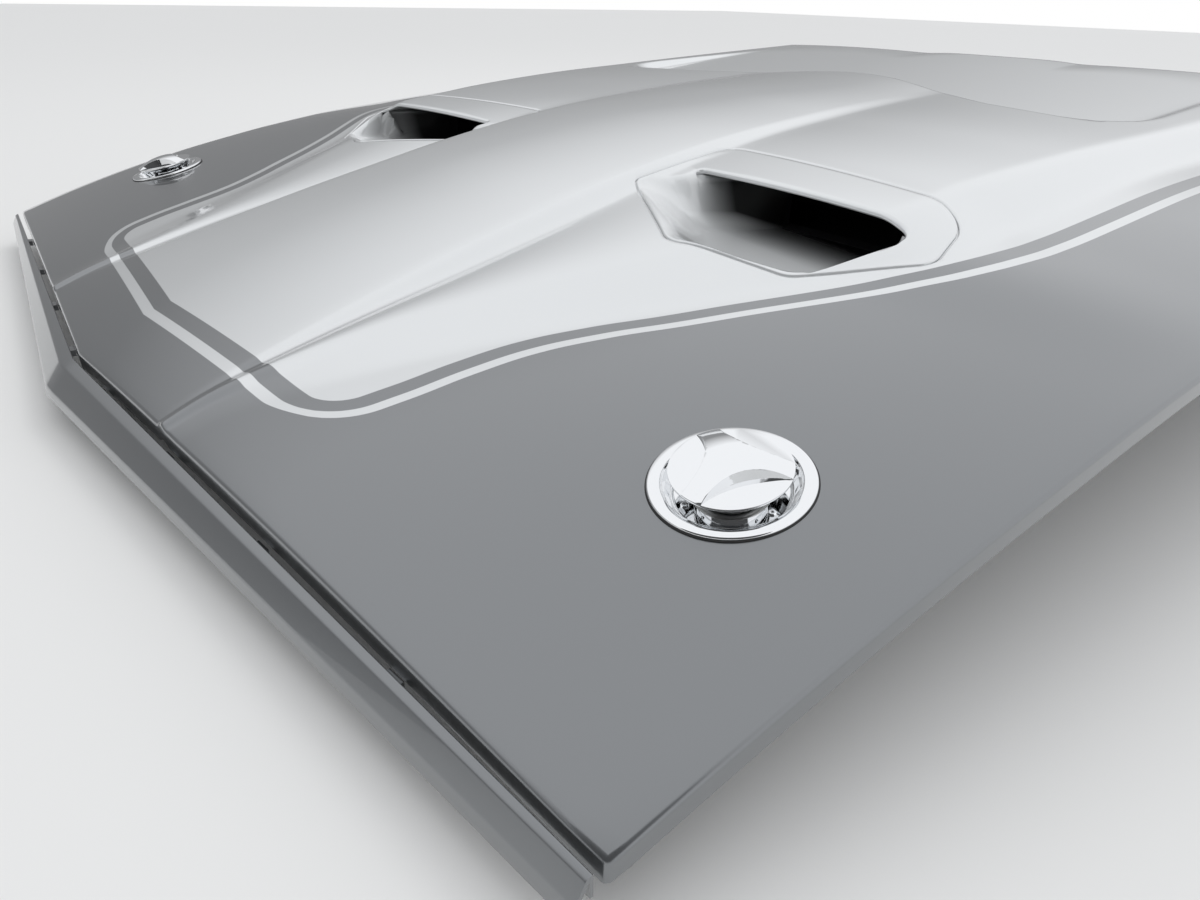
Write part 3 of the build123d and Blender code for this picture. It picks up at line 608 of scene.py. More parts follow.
for side in (1, -1):
    cut(panel, prism(rounded_path(INSERT, INSERT_STEPS, HOLE_GROWN) * (side, 1), 0, TOOL_HIGH))
    bpy.ops.mesh.primitive_cylinder_add(vertices=180, radius=LOCK_HOLE / 1000, depth=0.1)
    tool = bpy.context.object
    tool.data.transform(Matrix.Scale(side, 4, (1, 0, 0)) @ lock_place)
    edited(tool, OUTWARD)
    cut(panel, tool)
edge_rows = [under(ended(evenly(rounded_path(INSERT, INSERT_STEPS, grow), HOLE_POINTS)), depth)
             for grow, depth in HOLE_EDGE]
edge = sheet("hole_edge", np.array(edge_rows), bonnet_paint)
panel = joined([panel, edge, mirrored(edge, "hole_edge_right")])
finished(panel, "bonnet", ["bonnet_skin"])

# scoop inserts: one moulded shell each, set in a hole of the panel. A flange runs under the panel, the cap lies
# flush with it, a soft bowl runs down from the front seam, and the roof's lip rolls under into the duct. The
# mesh is rings of points in the directions of the mouth's points, from the flange inward to the duct's end.
MOUTH = ((204, 474, 12), (318, 390, 30), (436, 408, 10), (478, 490, 14), (474, 507, 13), (208, 526, 6))
BOWL = ((262, 478, 100), (348, 411, 24), (424, 432, 16), (460, 478, 24), (458, 550, 20), (262, 550, 20))
SCOOP_MIDDLE = np.array((345.0, 472.0))
RAMP_FRONT = (392.0, 113.0)
RAMP_REAR = (601.0, 92.0)
RING_POINTS = 320
UNDER_SKIN = 2.6
FLANGE_RINGS = (
    # growth over the insert's outline, and depth
    (14.0, UNDER_SKIN), (-1.2, UNDER_SKIN), (-1.2, 1.2), (-1.6, 0.4), (-2.6, 0.0),
)
LIP_LINE = ((204, 480), (508, 488))       # sideways places and stations of the line at which the lip begins
LIP_SOFT = 34.0
LIP_ROLL = 2.8
LIP_BACK = 9.0
DUCT_SIDES = ((206, 478), (262.0, 456.0))
DUCT_END = 604.0
DUCT_TOP = 143.0
SHELL = 1.4


def radial(points):
    """Directions and distances of points from the scoop's middle."""
    across, along = (points - SCOOP_MIDDLE).T
    return np.arctan2(along, across), np.hypot(across, along)


mouth_ring = evenly(rounded_path(MOUTH), RING_POINTS)
directions, mouth_reach = radial(mouth_ring)
outward = np.roll(mouth_ring, -1, axis=0) - np.roll(mouth_ring, 1, axis=0)
outward = np.stack([outward[:, 1], -outward[:, 0]], axis=1) / np.hypot(*outward.T)[:, None]
outward *= np.sign(np.sum(outward * (mouth_ring - SCOOP_MIDDLE), axis=1))[:, None]


def ring_of(table, grow=0.0):
    """A rounded outline's points in the directions of the mouth's points."""
    turned, reach = radial(evenly(rounded_path(table, INSERT_STEPS, grow), 3000))
    order = np.argsort(turned)
    reach = np.interp(directions, turned[order], reach[order], period=2 * pi)
    return SCOOP_MIDDLE + reach[:, None] * np.stack([np.cos(directions), np.sin(directions)], axis=1)


def ramp_height(station):
    share = (station - RAMP_FRONT[0]) / (RAMP_REAR[0] - RAMP_FRONT[0])
    return RAMP_FRONT[1] + share * (RAMP_REAR[1] - RAMP_FRONT[1])


def smooth_step(t):
    t = np.clip(t, 0, 1)
    return t * t * (3 - 2 * t)


# The bowl falls to the ramp within a width that varies along the front seam, from the inner wall's top to its
# foot, and within a set width of the outer crest.
SEAM_LIMITS = (440.0, 462.0)              # the seam is the part of the outline that lies before both
SEAM_WIDE = (64, 24)                      # at the inner end and from the middle outward
SEAM_NARROWS = (250.0, 390.0)
CREST_LIMITS = (438.0, 507.0)             # the crest is the mouth's part outside the first, before the second
CREST_WIDE = 14.0
CREST_SIDE = 425.0                        # outside this, nothing falls beyond the crest
WALL_FOOT = 262.0                         # sideways place of the inner wall's foot
WALL_TOP = (174.0, 204.0)                 # its top runs from the seam to the lip's inner end
WALL_TOP_RUN = (472.0, 508.0)             # between these stations
BOWL_CORNER = 1.2                         # how much sooner the wall and the front meet the ramp in their corner
BOWL_FALL = (1.15, 0.01)


def wall_top(station):
    share = smooth_step((station - WALL_TOP_RUN[0]) / (WALL_TOP_RUN[1] - WALL_TOP_RUN[0]))
    return WALL_TOP[0] + (WALL_TOP[1] - WALL_TOP[0]) * share


def shortest(x, s, line, wide):
    """The least distance to a line's points, as a share of the widths there."""
    return np.min(np.hypot(x[:, None] - line[:, 0], s[:, None] - line[:, 1]) / wide, axis=1)


def soft_least(first, second, power):
    return (first**-power + second**-power) ** (-1 / power)


seam = evenly(rounded_path(INSERT, INSERT_STEPS), 1500)
seam = seam[(seam[:, 0] < SEAM_LIMITS[0]) & (seam[:, 1] < SEAM_LIMITS[1])]
narrowed = smooth_step((seam[:, 0] - SEAM_NARROWS[0]) / (SEAM_NARROWS[1] - SEAM_NARROWS[0]))
seam_wide = SEAM_WIDE[0] + (SEAM_WIDE[1] - SEAM_WIDE[0]) * narrowed
crest = mouth_ring[(mouth_ring[:, 0] > CREST_LIMITS[0]) & (mouth_ring[:, 1] < CREST_LIMITS[1])]


def bowl_level(x, s, in_duct=False):
    """Height of the insert's open part and of the duct's floor."""
    top = wall_top(s)
    inner = (x - top) / (WALL_FOOT - top)
    front = shortest(x, s, seam, seam_wide)
    beyond = np.hypot(x - SCOOP_MIDDLE[0], s - SCOOP_MIDDLE[1]) > mouth_reach
    flush = (x > CREST_SIDE) & beyond & (not in_duct)
    outer = np.where(flush, 0, shortest(x, s, crest, CREST_WIDE))
    inner, front, outer = (np.maximum(share, 1e-3) for share in (inner, front, outer))
    corner = soft_least(inner, front, 2.0) * BOWL_CORNER
    fall = smooth_step(BOWL_FALL[0] * soft_least(corner, outer, 4.0) - BOWL_FALL[1])
    return height(x, s) * (1 - fall) + ramp_height(s) * fall


CAP_ROWS, ROLL_ROWS, BACK_ROWS, DUCT_ROWS = 14, 8, 8, 10
CAP_SHARE, ROLL_SHARE = 0.45, 0.72        # how far the front has run where the cap and the roll end
LID_START = 0.7
mouth_x, mouth_s = mouth_ring.T
roof = smooth_step((mouth_s - np.interp(mouth_x, *LIP_LINE)) / LIP_SOFT + 0.5)[:, None]     # one on the lip
lid = smooth_step((roof - LID_START) / (1 - LID_START))
cap_ring = ring_of(INSERT, FLANGE_RINGS[-1][0])
lip_top = height(mouth_x, mouth_s)[:, None]
lip_rear = mouth_ring + outward * LIP_ROLL
inner_side = mouth_x[:, None] < SCOOP_MIDDLE[0]
wall_x = wall_top(mouth_s[:, None]) * roof + WALL_FOOT * (1 - roof)
wall_place = np.column_stack([wall_x, mouth_s])
front_end = np.where(inner_side & (roof > 0), wall_place, ring_of(BOWL) * (1 - roof) + mouth_ring * roof)
shell_rows = []
for grow, depth in FLANGE_RINGS:
    ring = ring_of(INSERT, grow)
    shell_rows.append(np.column_stack([ring, height(*ring.T) - depth]))


def scoop_row(share, over):
    """A row of the shell: the front's run down to the ramp at a share of its way, and the roof's points."""
    share = share * (1 - roof) + min(share / CAP_SHARE, 1) * roof
    plan = cap_ring + (front_end - cap_ring) * share
    return np.column_stack([plan, bowl_level(*plan.T)]) * (1 - lid) + over * lid


def shares(count):
    return np.linspace(0, 1, count + 1)[1:]


for share in shares(CAP_ROWS):
    plan = cap_ring + (lip_rear - cap_ring) * share
    shell_rows.append(scoop_row(CAP_SHARE * share, np.column_stack([plan, height(*plan.T)])))
for share in shares(ROLL_ROWS):
    plan = lip_rear - outward * LIP_ROLL * sin(pi * share)
    over = np.column_stack([plan, lip_top - LIP_ROLL * (1 - cos(pi * share))])
    shell_rows.append(scoop_row(CAP_SHARE + (ROLL_SHARE - CAP_SHARE) * share, over))
for share in shares(BACK_ROWS):
    over = np.column_stack([lip_rear + outward * LIP_BACK * share * lid, lip_top - 2 * LIP_ROLL])
    shell_rows.append(scoop_row(ROLL_SHARE + (1 - ROLL_SHARE) * share, over))
duct_start = shell_rows[-1]
duct_x = np.interp(mouth_x, *DUCT_SIDES)
duct_z = ramp_height(DUCT_END) * (1 - roof) + DUCT_TOP * roof
duct_end = np.column_stack([duct_x, np.full_like(duct_x, DUCT_END), duct_z])
for share in shares(DUCT_ROWS):
    row = duct_start + (duct_end - duct_start) * share
    row[:, 2] += (bowl_level(row[:, 0], row[:, 1], in_duct=True) - row[:, 2]) * (1 - share) * (1 - lid[:, 0])
    shell_rows.append(row)
shell = np.array(shell_rows)
shell = np.concatenate([shell, shell[:, :1]], axis=1)

# Its paint fades from silver to near black towards the duct: partly the duct's own black paint past the
# silver overspray, partly painted shade where the light no longer reaches. Lengths in these fades are in
# metres.
# the near black deep in the duct: its own black paint, darkened further as painted shade
INSIDE = (0.004, 0.004, 0.004)
LIP_PLACE = (0.530, 0.208, 0.3)           # station of the lip at its inner end, that end's place, and its slant
WALL_LIMITS = (0.3, 0.04)
CAP_LEVEL = (0.032, 0.01)                 # above the ramp's front
DEEP_RAMP = (0.045, 0.11)                 # place and softness of the dark's edge on the ramp
DEEP_WALL = (-0.005, 0.07)                # and on the inner wall
throat_paint = Paint("scoop_throat", SILVER, 0.45, metal=0.1, coat=1.0)
station = throat_paint.y + ORIGIN_STATION / 1000
level = throat_paint.z + (ORIGIN_HEIGHT - RAMP_FRONT[1]) / 1000
across = abs(throat_paint.x)
behind_lip = station - LIP_PLACE[0] + (across - LIP_PLACE[1]) * LIP_PLACE[2]
ramp_slope = (RAMP_FRONT[1] - RAMP_REAR[1]) / (RAMP_REAR[0] - RAMP_FRONT[0])
above_ramp = ((level + (station - RAMP_FRONT[0] / 1000) * ramp_slope) / 0.015).above(0).below(1)
on_wall = above_ramp * (WALL_LIMITS[0] - across).edge(0, WALL_LIMITS[1])
under_cap = 1 - level.edge(*CAP_LEVEL)
place, soft = (on_wall * (wall - ramp) + ramp for ramp, wall in zip(DEEP_RAMP, DEEP_WALL))
# painted shade with the duct's black: dark behind the lip, and on the inner wall only below the cap
shade_and_black = behind_lip.edge(place, soft) * under_cap.above(1 - on_wall)
throat_paint.set(**{"Base Color": throat_paint.mix(shade_and_black, SILVER, INSIDE)})
moulding_paint = Paint("insert_back", (0.02, 0.02, 0.022), 0.5)
cap_paint = Paint("silver_paint", SILVER, SILVER_ROUGH, metal=SILVER_METAL, coat=1.0)

SIDE_WALL = (0.98, 300.0)                 # the inner wall lies off the roof and inside this sideways place
fade_row = len(FLANGE_RINGS) + CAP_ROWS + ROLL_ROWS // 2
paints = (cap_paint, throat_paint, moulding_paint, moulding_paint)
insert = sheet("scoop_insert_left", placed(*np.moveaxis(shell, -1, 0)), *paints)
rows = np.repeat(np.arange(len(shell) - 1), shell.shape[1] - 1)
side_wall = np.tile((roof[:, 0] < SIDE_WALL[0]) & (mouth_x < SIDE_WALL[1]), len(shell) - 1)
in_throat = (rows >= fade_row) | side_wall & (rows >= len(FLANGE_RINGS))
insert.data.polygons.foreach_set("material_index", in_throat.astype(np.int32))
modified(insert, "SOLIDIFY", thickness=SHELL / 1000, offset=-1, material_offset=2, material_offset_rim=2)


def finished_pair(piece, body, node, angle=35):
    """Finishes a left piece and its mirrored twin."""
    twin = mirrored(piece, f"{node}_right")
    for each, side in ((piece, "left"), (twin, "right")):
        finished(each, body.format(side), [f"{node}_{side}"], angle)


finished_pair(insert, "bonnet", "scoop_insert", angle=60)


# lock bezels: polished rings with a dished floor, let into the panel on a rubber gasket and held by three small
# screws. Each is turned about the lock's axis from a profile of (radius, height, rounding).
GASKET = ((44.6, -0.3, 0.1), (51.4, -0.3, 0.1), (51.4, 1.5, 0.5), (44.6, 1.5, 0.1))
BEZEL = ((50.5, 1.4, 0.4), (50.5, 3.0, 1.4), (46.0, 3.9, 8), (42.2, 3.2, 1.0), (39.8, -2.0, 3), (36.0, -8.0, 4),
         (24.0, -8.0, 0.3), (24.0, -9.6, 0.3), (37.0, -9.6, 1.5), (41.0, 1.4, 0.3))
SCREW_RADIUS = 29.5
SCREW_TURNS = (6, 126, 246)
SCREW = ((0, -8.2), (2.6, -8.2), (2.6, -7.4), (1.9, -6.9), (1.1, -6.9), (1.1, -7.8), (0, -7.8))
SHARP_ANGLE = 28                          # folds of the turned pieces stay crisp above this


def turned(name, profile, place, *paints, steps=96):
    """A body turned about its own Z from points, each (radius, height) in millimetres, then set in place."""
    angles = np.linspace(0, 2 * pi, steps + 1)
    radius, level = np.array(profile, float).T[:, :, None]
    points = np.stack([radius * np.cos(angles), radius * np.sin(angles), level + 0 * angles], axis=-1) / 1000
    piece = sheet(name, points, *paints)
    edited(piece, OUTWARD)
    piece.data.transform(place)
    return piece


def closed_profile(corners):
    return ended(rounded_path(corners, steps=5))


def in_place(x, y, z):
    """A place in the lock's own millimetres."""
    return lock_place @ Matrix.Translation((x / 1000, y / 1000, z / 1000))


chrome = Paint("lock_chrome", (0.86, 0.87, 0.88), 0.04, metal=1.0)
rubber = Paint("seal_rubber", (0.018, 0.018, 0.018), 0.7)
rubber.set(Roughness=rubber.noise(60.0, detail=4.0) * 0.3 + 0.5)
bezel = [turned("lock_bezel_left", closed_profile(BEZEL), lock_place, chrome, rubber, steps=144),
         turned("gasket", closed_profile(GASKET), lock_place, rubber, steps=144)]
for turn in SCREW_TURNS:
    spot = in_place(SCREW_RADIUS * cos(radians(turn)), SCREW_RADIUS * sin(radians(turn)), 0)
    bezel.append(turned("screw", SCREW, spot, chrome, steps=24))
finished_pair(joined(bezel), "bonnet", "lock_bezel", angle=SHARP_ANGLE)

# lock knobs: a domed chrome disc with three finger recesses on a neck, its shaft and the cross pin that
# catches. The dome is a part of a sphere, and each recess is the side of a round cutter.
KNOB_RADIUS, KNOB_RIM, KNOB_TOP = 37.0, 12.5, 21.5
KNOB = ((0, 9.0), (35.5, 9.0), (KNOB_RADIUS, 10.5), (KNOB_RADIUS, KNOB_RIM))
DOME_STEPS = 18
RECESS_FLOOR, RECESS_ROUND, RECESS_OFFSET, RECESS_TURN, RECESS_HIGH = 12.0, 45.0, 60.0, 96.5, 40.0
KNOB_BEVEL = 0.5
NECK = ((0, 9.2), (22.0, 9.2), (21.0, 8.0), (20.6, 2.0), (21.8, 1.0), (21.8, -1.0), (20.6, -2.2), (20.6, -10.2),
        (0, -10.2))
SHAFT = ((0, -9), (8, -9), (8, -61), (7, -62), (0, -62))
CROSS_PIN = ((0, -18), (3.2, -18), (4, -17.2), (4, 17.2), (3.2, 18), (0, 18))
PIN_LEVEL = -54.0
sphere = (KNOB_RADIUS**2 + (KNOB_TOP - KNOB_RIM) ** 2) / (2 * (KNOB_TOP - KNOB_RIM))
dome = [(radius, KNOB_TOP - sphere + (sphere**2 - radius**2) ** 0.5)
        for radius in np.linspace(KNOB_RADIUS, 0, DOME_STEPS)[1:]]
knob = turned("lock_knob_left", list(KNOB) + dome, lock_place, chrome, steps=144)
for third in range(3):
    turn = radians(RECESS_TURN + 120 * third)
    bpy.ops.mesh.primitive_cylinder_add(vertices=240, radius=RECESS_ROUND / 1000, depth=RECESS_HIGH / 1000)
    tool = bpy.context.object
    middle = RECESS_FLOOR + RECESS_HIGH / 2
    tool.data.transform(in_place(RECESS_OFFSET * cos(turn), RECESS_OFFSET * sin(turn), middle))
    cut(knob, tool)
modified(knob, "BEVEL", width=KNOB_BEVEL / 1000, segments=2, limit_method="ANGLE", angle_limit=radians(35))
across_shaft = in_place(0, 0, PIN_LEVEL) @ Matrix.Rotation(pi / 2, 4, "Y")
knob = joined([knob, turned("neck", NECK, lock_place, chrome, steps=72),
               turned("shaft", SHAFT, lock_place, chrome, steps=48),
               turned("cross_pin", CROSS_PIN, across_shaft, chrome, steps=24)])
finished_pair(knob, "lock_{}", "lock_knob", angle=SHARP_ANGLE)

# lock housings: zinc cups under the panel, each with the sleeve that guides a shaft. The ring's screws clamp
# each cup's rim against the panel from below.
HOUSING = ((8.1, -10.5, 0.4), (41.7, -10.5, 2), (41.7, -1.8, 0.5), (44.2, -1.8, 0.5), (56, -4.0, 0.8),
           (56, -6.3, 0.8), (44.2, -6.3, 1.5), (44.2, -13, 3), (14, -17, 3), (14, -40, 1), (8.1, -40, 0.4))
zinc = Paint("zinc", (0.55, 0.55, 0.54), 0.42, metal=0.9)
zinc.set(**{"Base Color": zinc.mix(zinc.noise(55.0, detail=4.0), (0.44, 0.44, 0.43), (0.62, 0.62, 0.61))})
zinc.bump(zinc.noise(600.0), 0.0001)
housing = turned("lock_housing_left", closed_profile(HOUSING), lock_place, zinc)
finished_pair(housing, "bonnet", "lock_housing", angle=SHARP_ANGLE)

# lip moulding: the painted channel ahead of the nose, in two straight runs that meet at its point. Tabs hold it
# under the nose. Its section changes from the middle to the corner.
LIP_MIDDLE = ((-5, 8, 1.0), (-16, 4, 7), (-32, -14, 8), (-34, -22, 0.8), (-31, -22, 0.8),
              (-28, -13, 6), (-14, 0.5, 5), (-8, 3, 1.5), (-8, -12, 0.5), (-5, -12, 0.5))
LIP_CORNER = ((-5, -1, 1.0), (-9, -3, 3), (-15, -15, 5), (-16, -27, 0.8), (-13, -27, 0.8),
              (-12.3, -15.5, 3.5), (-7.8, -6, 2), (-7, -5, 0.3), (-7, -16, 0.5), (-5, -16, 0.5))
LIP_HALF = 698.0
LIP_STEPS = 40
LIP_TABS = (3 / 35, 11 / 35, 19 / 35, 27 / 35)     # shares of the nose's half width
TAB = (14.0, 5.4, 6.0)


def block(size, place, *paints):
    """A box of millimetres, set in place."""
    bpy.ops.mesh.primitive_cube_add(size=1)
    piece = bpy.context.object
    piece.data.transform(place @ Matrix.Diagonal((*(side / 1000 for side in size), 1)))
    for paint in paints:
        piece.data.materials.append(paint.material)
    return piece


lip_rows = []
for share in np.linspace(-1, 1, 2 * LIP_STEPS + 1):
    section = closed_profile(np.array(LIP_MIDDLE) * (1 - abs(share)) + np.array(LIP_CORNER) * abs(share))
    across = share * LIP_HALF
    lip_rows.append(placed(across, nose_line(abs(across)) + section[:, 0], section[:, 1]))
lip_paint = Paint("lip_paint", CHARCOAL, CHARCOAL_ROUGH, metal=CHARCOAL_METAL, coat=1.0)
lip = sheet("lip_moulding", np.array(lip_rows), lip_paint)
edited(lip, FILLED, OUTWARD)
tabs = []
for side in (1, -1):
    for share in LIP_TABS:
        across = share * NOSE_HALF
        level = LIP_MIDDLE[-1][1] * (1 - share) + LIP_CORNER[-1][1] * share + TAB[2]
        spot = Matrix.Translation(placed(side * across, nose_line(across) - TAB[1] / 2, level))
        tabs.append(block(TAB, spot @ Matrix.Rotation(side * atan2(NOSE_APEX, NOSE_HALF), 4, "Z"), lip_paint))
finished(joined([lip, *tabs]), "bonnet", ["lip_moulding"], angle=40)

# rails and ribs: pressed steel channels welded under the panel, each a pan with rounded folds that follows the
# panel, with a bead along its middle that runs out at both ends.
RAIL_TOP, RAIL_BOTTOM, RAIL_WALL = 2.5, 24.3, 1.5
FOLD = ((0, RAIL_TOP), (0, RAIL_BOTTOM - 4.5), (0.6, RAIL_BOTTOM - 2), (2, RAIL_BOTTOM - 0.6),
        (4.5, RAIL_BOTTOM))
BEAD = ((-10, 0), (-7.5, 0.5), (-5, 2.2), (0, 2.6), (5, 2.2), (7.5, 0.5), (10, 0))
BEAD_END = 4                              # rows from an end at which the bead begins, and over which it rises
FRONT_END, NOSE_SET, RAIL_WIDE = 672.0, 24.0, 50.0
SIDE_SET, REAR_SET, REAR_WIDE, RAIL_GAP = 16.0, 36.0, 66.0, 5.0
TRAY_FRONT, TRAY_REAR = 625.0, 773.0
FRONT_RIB = 95.0
REAR_RIB = (300.0, 244.0)
LONG_ROWS, SIDE_ROWS, RIB_ROWS = 271, 91, 41
rail_paint = Paint("frame_paint", (0.035, 0.038, 0.042), 0.45)
rail_paint.set(Roughness=rail_paint.noise(9.0, detail=5.0) * 0.4 + 0.25)


def border(x, station):
    """A rail's border, as rows of (sideways, station)."""
    return np.column_stack(np.broadcast_arrays(x, station)).astype(float)


def rail(name, inner, outer, bead=1.0):
    """A channel between two borders."""
    rows = np.arange(len(inner))
    run_out = np.clip(np.minimum(rows, rows[::-1]) / BEAD_END - 1, 0, 1)[:, None] * bead
    marks = [(0, offset, depth, 0) for offset, depth in FOLD]
    marks += [(0.5, offset, RAIL_BOTTOM, rise) for offset, rise in BEAD]
    marks += [(1, -offset, depth, 0) for offset, depth in reversed(FOLD)]
    base, offset, depth, rise = np.array(marks).T
    wide = np.hypot(*(outer - inner).T)[:, None]
    share = (base + offset / wide)[..., None]
    plan = inner[:, None] * (1 - share) + outer[:, None] * share
    depths = depth - rise * run_out
    ends = []
    for first, second in ((0, 1), (-1, -2)):
        along = plan[second] - plan[first]
        along /= np.hypot(*along.T)[:, None]
        ends.append([(plan[first] + along * inward, np.minimum(depths[first], level))
                     for inward, level in FOLD])
    ends[1].reverse()
    plan = np.concatenate([[row for row, _ in ends[0]], plan[1:-1], [row for row, _ in ends[1]]])
    depths = np.concatenate([[row for _, row in ends[0]], depths[1:-1], [row for _, row in ends[1]]])
    piece = sheet(name, under(plan, depths), rail_paint)
    modified(piece, "SOLIDIFY", thickness=RAIL_WALL / 1000, offset=-1)
    finished(piece, "bonnet", [name])


front_x = np.linspace(-FRONT_END, FRONT_END, LONG_ROWS)
front_s = nose_line(np.abs(front_x)) + NOSE_SET
rail("front_rail", border(front_x, front_s + RAIL_WIDE)[::-1], border(front_x, front_s)[::-1])
rear_front = REAR - REAR_SET - REAR_WIDE
rear_x = np.linspace(SIDE_SET - REAR_HALF, REAR_HALF - SIDE_SET, LONG_ROWS)
rail("rear_rail", border(rear_x, rear_front), border(rear_x, REAR - REAR_SET), bead=0)
behind_nose = NOSE_SET + RAIL_WIDE + RAIL_GAP
side_front = nose_line(FRONT_END) + behind_nose
side_s = np.linspace(side_front, rear_front - RAIL_GAP, SIDE_ROWS)
side_knots = np.array((side_front, 400, FULL_STATION, REAR))
side_x = np.interp(side_s, side_knots, side_line(side_knots)) - SIDE_SET
rib_fronts = [np.linspace(nose_line(x) + behind_nose, TRAY_FRONT - RAIL_GAP, RIB_ROWS)
              for x in (FRONT_RIB, FRONT_RIB + RAIL_WIDE)]
rib_s = np.linspace(TRAY_REAR + RAIL_GAP, rear_front - RAIL_GAP, RIB_ROWS)
rib_x = np.linspace(*REAR_RIB, RIB_ROWS)
for side, name in ((1, "left"), (-1, "right")):
    rail(f"side_rail_{name}", border(side * (side_x - RAIL_WIDE), side_s)[::-side],
         border(side * side_x, side_s)[::-side])
    rail(f"front_rib_{name}", border(side * FRONT_RIB, rib_fronts[0])[::-side],
         border(side * (FRONT_RIB + RAIL_WIDE), rib_fronts[1])[::-side])
    rail(f"rear_rib_{name}", border(side * rib_x, rib_s)[::-side],
         border(side * (rib_x + RAIL_WIDE), rib_s)[::-side])

# rubber and foam: the foam ring between tray and panel, the hollow bulb under the rear rail that seals on the
# scuttle, and the two ribbed stops under the nose. All are pushed or glued into place.
TRAY_HALF = 512.0
TRAY_ROUND = 30.0
TRAY_CORNERS = ((-1, TRAY_FRONT, 1), (1, TRAY_FRONT, 1), (1, TRAY_REAR, -1), (-1, TRAY_REAR, -1))
FOAM = ((-4.5, 2.3, 1.5), (7.5, 2.3, 1.5), (7.5, 10.3, 1.5), (-4.5, 10.3, 1.5))     # inset and depth
FOAM_POINTS = 480
foam = Paint("foam", (0.03, 0.03, 0.03), 0.95)
foam.bump(foam.noise(900.0), 0.0006)
foam_rows = []
for inset, depth in ended(rounded_path(FOAM, steps=3)):
    corners = [(side * (TRAY_HALF - inset), s + way * inset, TRAY_ROUND - inset)
               for side, s, way in TRAY_CORNERS]
    foam_rows.append(under(ended(evenly(rounded_path(corners), FOAM_POINTS)), depth))
ring = sheet("tray_seal", np.array(foam_rows), foam)
edited(ring, OUTWARD)
finished(ring, "bonnet", ["tray_seal"])

UNDER_RAIL = RAIL_BOTTOM + 0.3
BULB = ((-11, 0.2, 0.5), (11, 0.2, 0.5), (11, 3.2, 0.8), (6.5, 4.0, 1.5), (7.5, 12, 5), (-7.5, 12, 5),
        (-6.5, 4.0, 1.5), (-11, 3.2, 0.8))
BULB_HALF, BULB_TAPER, BULB_TIP = 600.0, 6.0, 0.4
BULB_ROWS = 121
seal_middle = REAR - REAR_SET - REAR_WIDE / 2
section = closed_profile(BULB)
bulb_rows = []
for x in np.linspace(-BULB_HALF, BULB_HALF, BULB_ROWS):
    taper = min(1, (BULB_HALF + BULB_TIP - abs(x)) / BULB_TAPER) ** 0.5
    level = height(x, seal_middle) - UNDER_RAIL
    bulb_rows.append(placed(x, seal_middle + section[:, 0] * taper, level - section[:, 1] * taper))
bulb = sheet("rear_seal", np.array(bulb_rows), rubber)
edited(bulb, FILLED, OUTWARD)
finished(bulb, "bonnet", ["rear_seal"])

BUMP = ((0, 0), (11.6, 0), (12, -0.4), (12, -4.6), (11.6, -5.2), (10.4, -6), (10.4, -6.6), (11.4, -7.6),
        (11.6, -9.5), (10.8, -12), (9.6, -13.4), (8, -14), (0, -14))
BUMP_PLACE = 600.0
BUMP_SUNK = 0.6
bump_s = nose_line(BUMP_PLACE) + NOSE_SET + RAIL_WIDE / 2
for side, name in ((1, "left"), (-1, "right")):
    level = height(BUMP_PLACE, bump_s) - UNDER_RAIL + BUMP_SUNK
    spot = Matrix.Translation(placed(side * BUMP_PLACE, bump_s, level))
    stop = turned(f"bump_stop_{name}", BUMP, spot, rubber, steps=40)
    finished(stop, "bonnet", [f"bump_stop_{name}"])

# hinges, catch and tray: satin black steel and a moulded plastic tray, as in the CAD source, with their edges
# broken. Each strap is bolted up under its side rail with two bolts.
BROKEN = 0.5
TRAY_BROKEN = 0.8
STRAP_BOLTS = (690.0, (1350.0, 1430.0))   # sideways place and stations
STRAP_UNDER = UNDER_RAIL + 4.3
HEAD = ((0, 0), (7.3, 0), (7.3, -6.2), (6.4, -7.0), (0, -7.0))
WASHER = ((0, 0.2), (9.0, 0.2), (9.4, -0.2), (9.4, -1.6), (0, -1.6))


def edges_broken(name, width, body, paint, more=()):
    """A copy of a CAD node whose sharp edges are rounded, joined with more pieces."""
    source = frame["nodes"][name]
    mesh = source.data.copy()
    piece = bpy.data.objects.new(name + "_piece", mesh)
    scene.collection.objects.link(piece)
    mesh.transform(source.matrix_world)
    mesh.materials.clear()
    mesh.materials.append(paint.material)
    edited(piece, (bpy.ops.mesh.remove_doubles, {"threshold": 0.00002}),
           (bpy.ops.mesh.dissolve_limited, {"angle_limit": radians(0.5)}))
    modified(piece, "BEVEL", width=width / 1000, segments=2, limit_method="ANGLE", angle_limit=radians(30))
    finished(joined([piece, *more]), body, [name])


def bolt(place, paint):
    """A hexagon head on its washer, seen from below."""
    return [turned("head", HEAD, place, paint, steps=6), turned("washer", WASHER, place, paint, steps=32)]


hinge_paint = Paint("hinge_steel", (0.03, 0.03, 0.032), 0.4)
hinge_paint.set(Roughness=hinge_paint.noise(90.0, detail=4.0) * 0.3 + 0.25)
hinge_paint.bump(hinge_paint.noise(700.0), 0.00005)
bolt_zinc = Paint("bolt_zinc", (0.5, 0.5, 0.48), 0.35, metal=1.0)
plastic = Paint("tray_plastic", (0.02, 0.02, 0.022), 0.55)
plastic.bump(plastic.noise(1400.0), 0.00008)
edges_broken("air_tray", TRAY_BROKEN, "bonnet", plastic)
edges_broken("safety_catch", BROKEN, "bonnet", hinge_paint)
for side, name in ((1, "left"), (-1, "right")):
    edges_broken(f"hinge_base_{name}", BROKEN, "hinge_bases", hinge_paint)
    edges_broken(f"hinge_rear_link_{name}", BROKEN, "rear_links", hinge_paint)
    edges_broken(f"hinge_front_link_{name}", BROKEN, "front_links", hinge_paint)
    heads = []
    for s in STRAP_BOLTS[1]:
        x = side * STRAP_BOLTS[0]
        heads += bolt(Matrix.Translation(placed(x, s, height(x, s) - STRAP_UNDER)), bolt_zinc)
    edges_broken(f"hinge_strap_{name}", BROKEN, "bonnet", hinge_paint, heads)
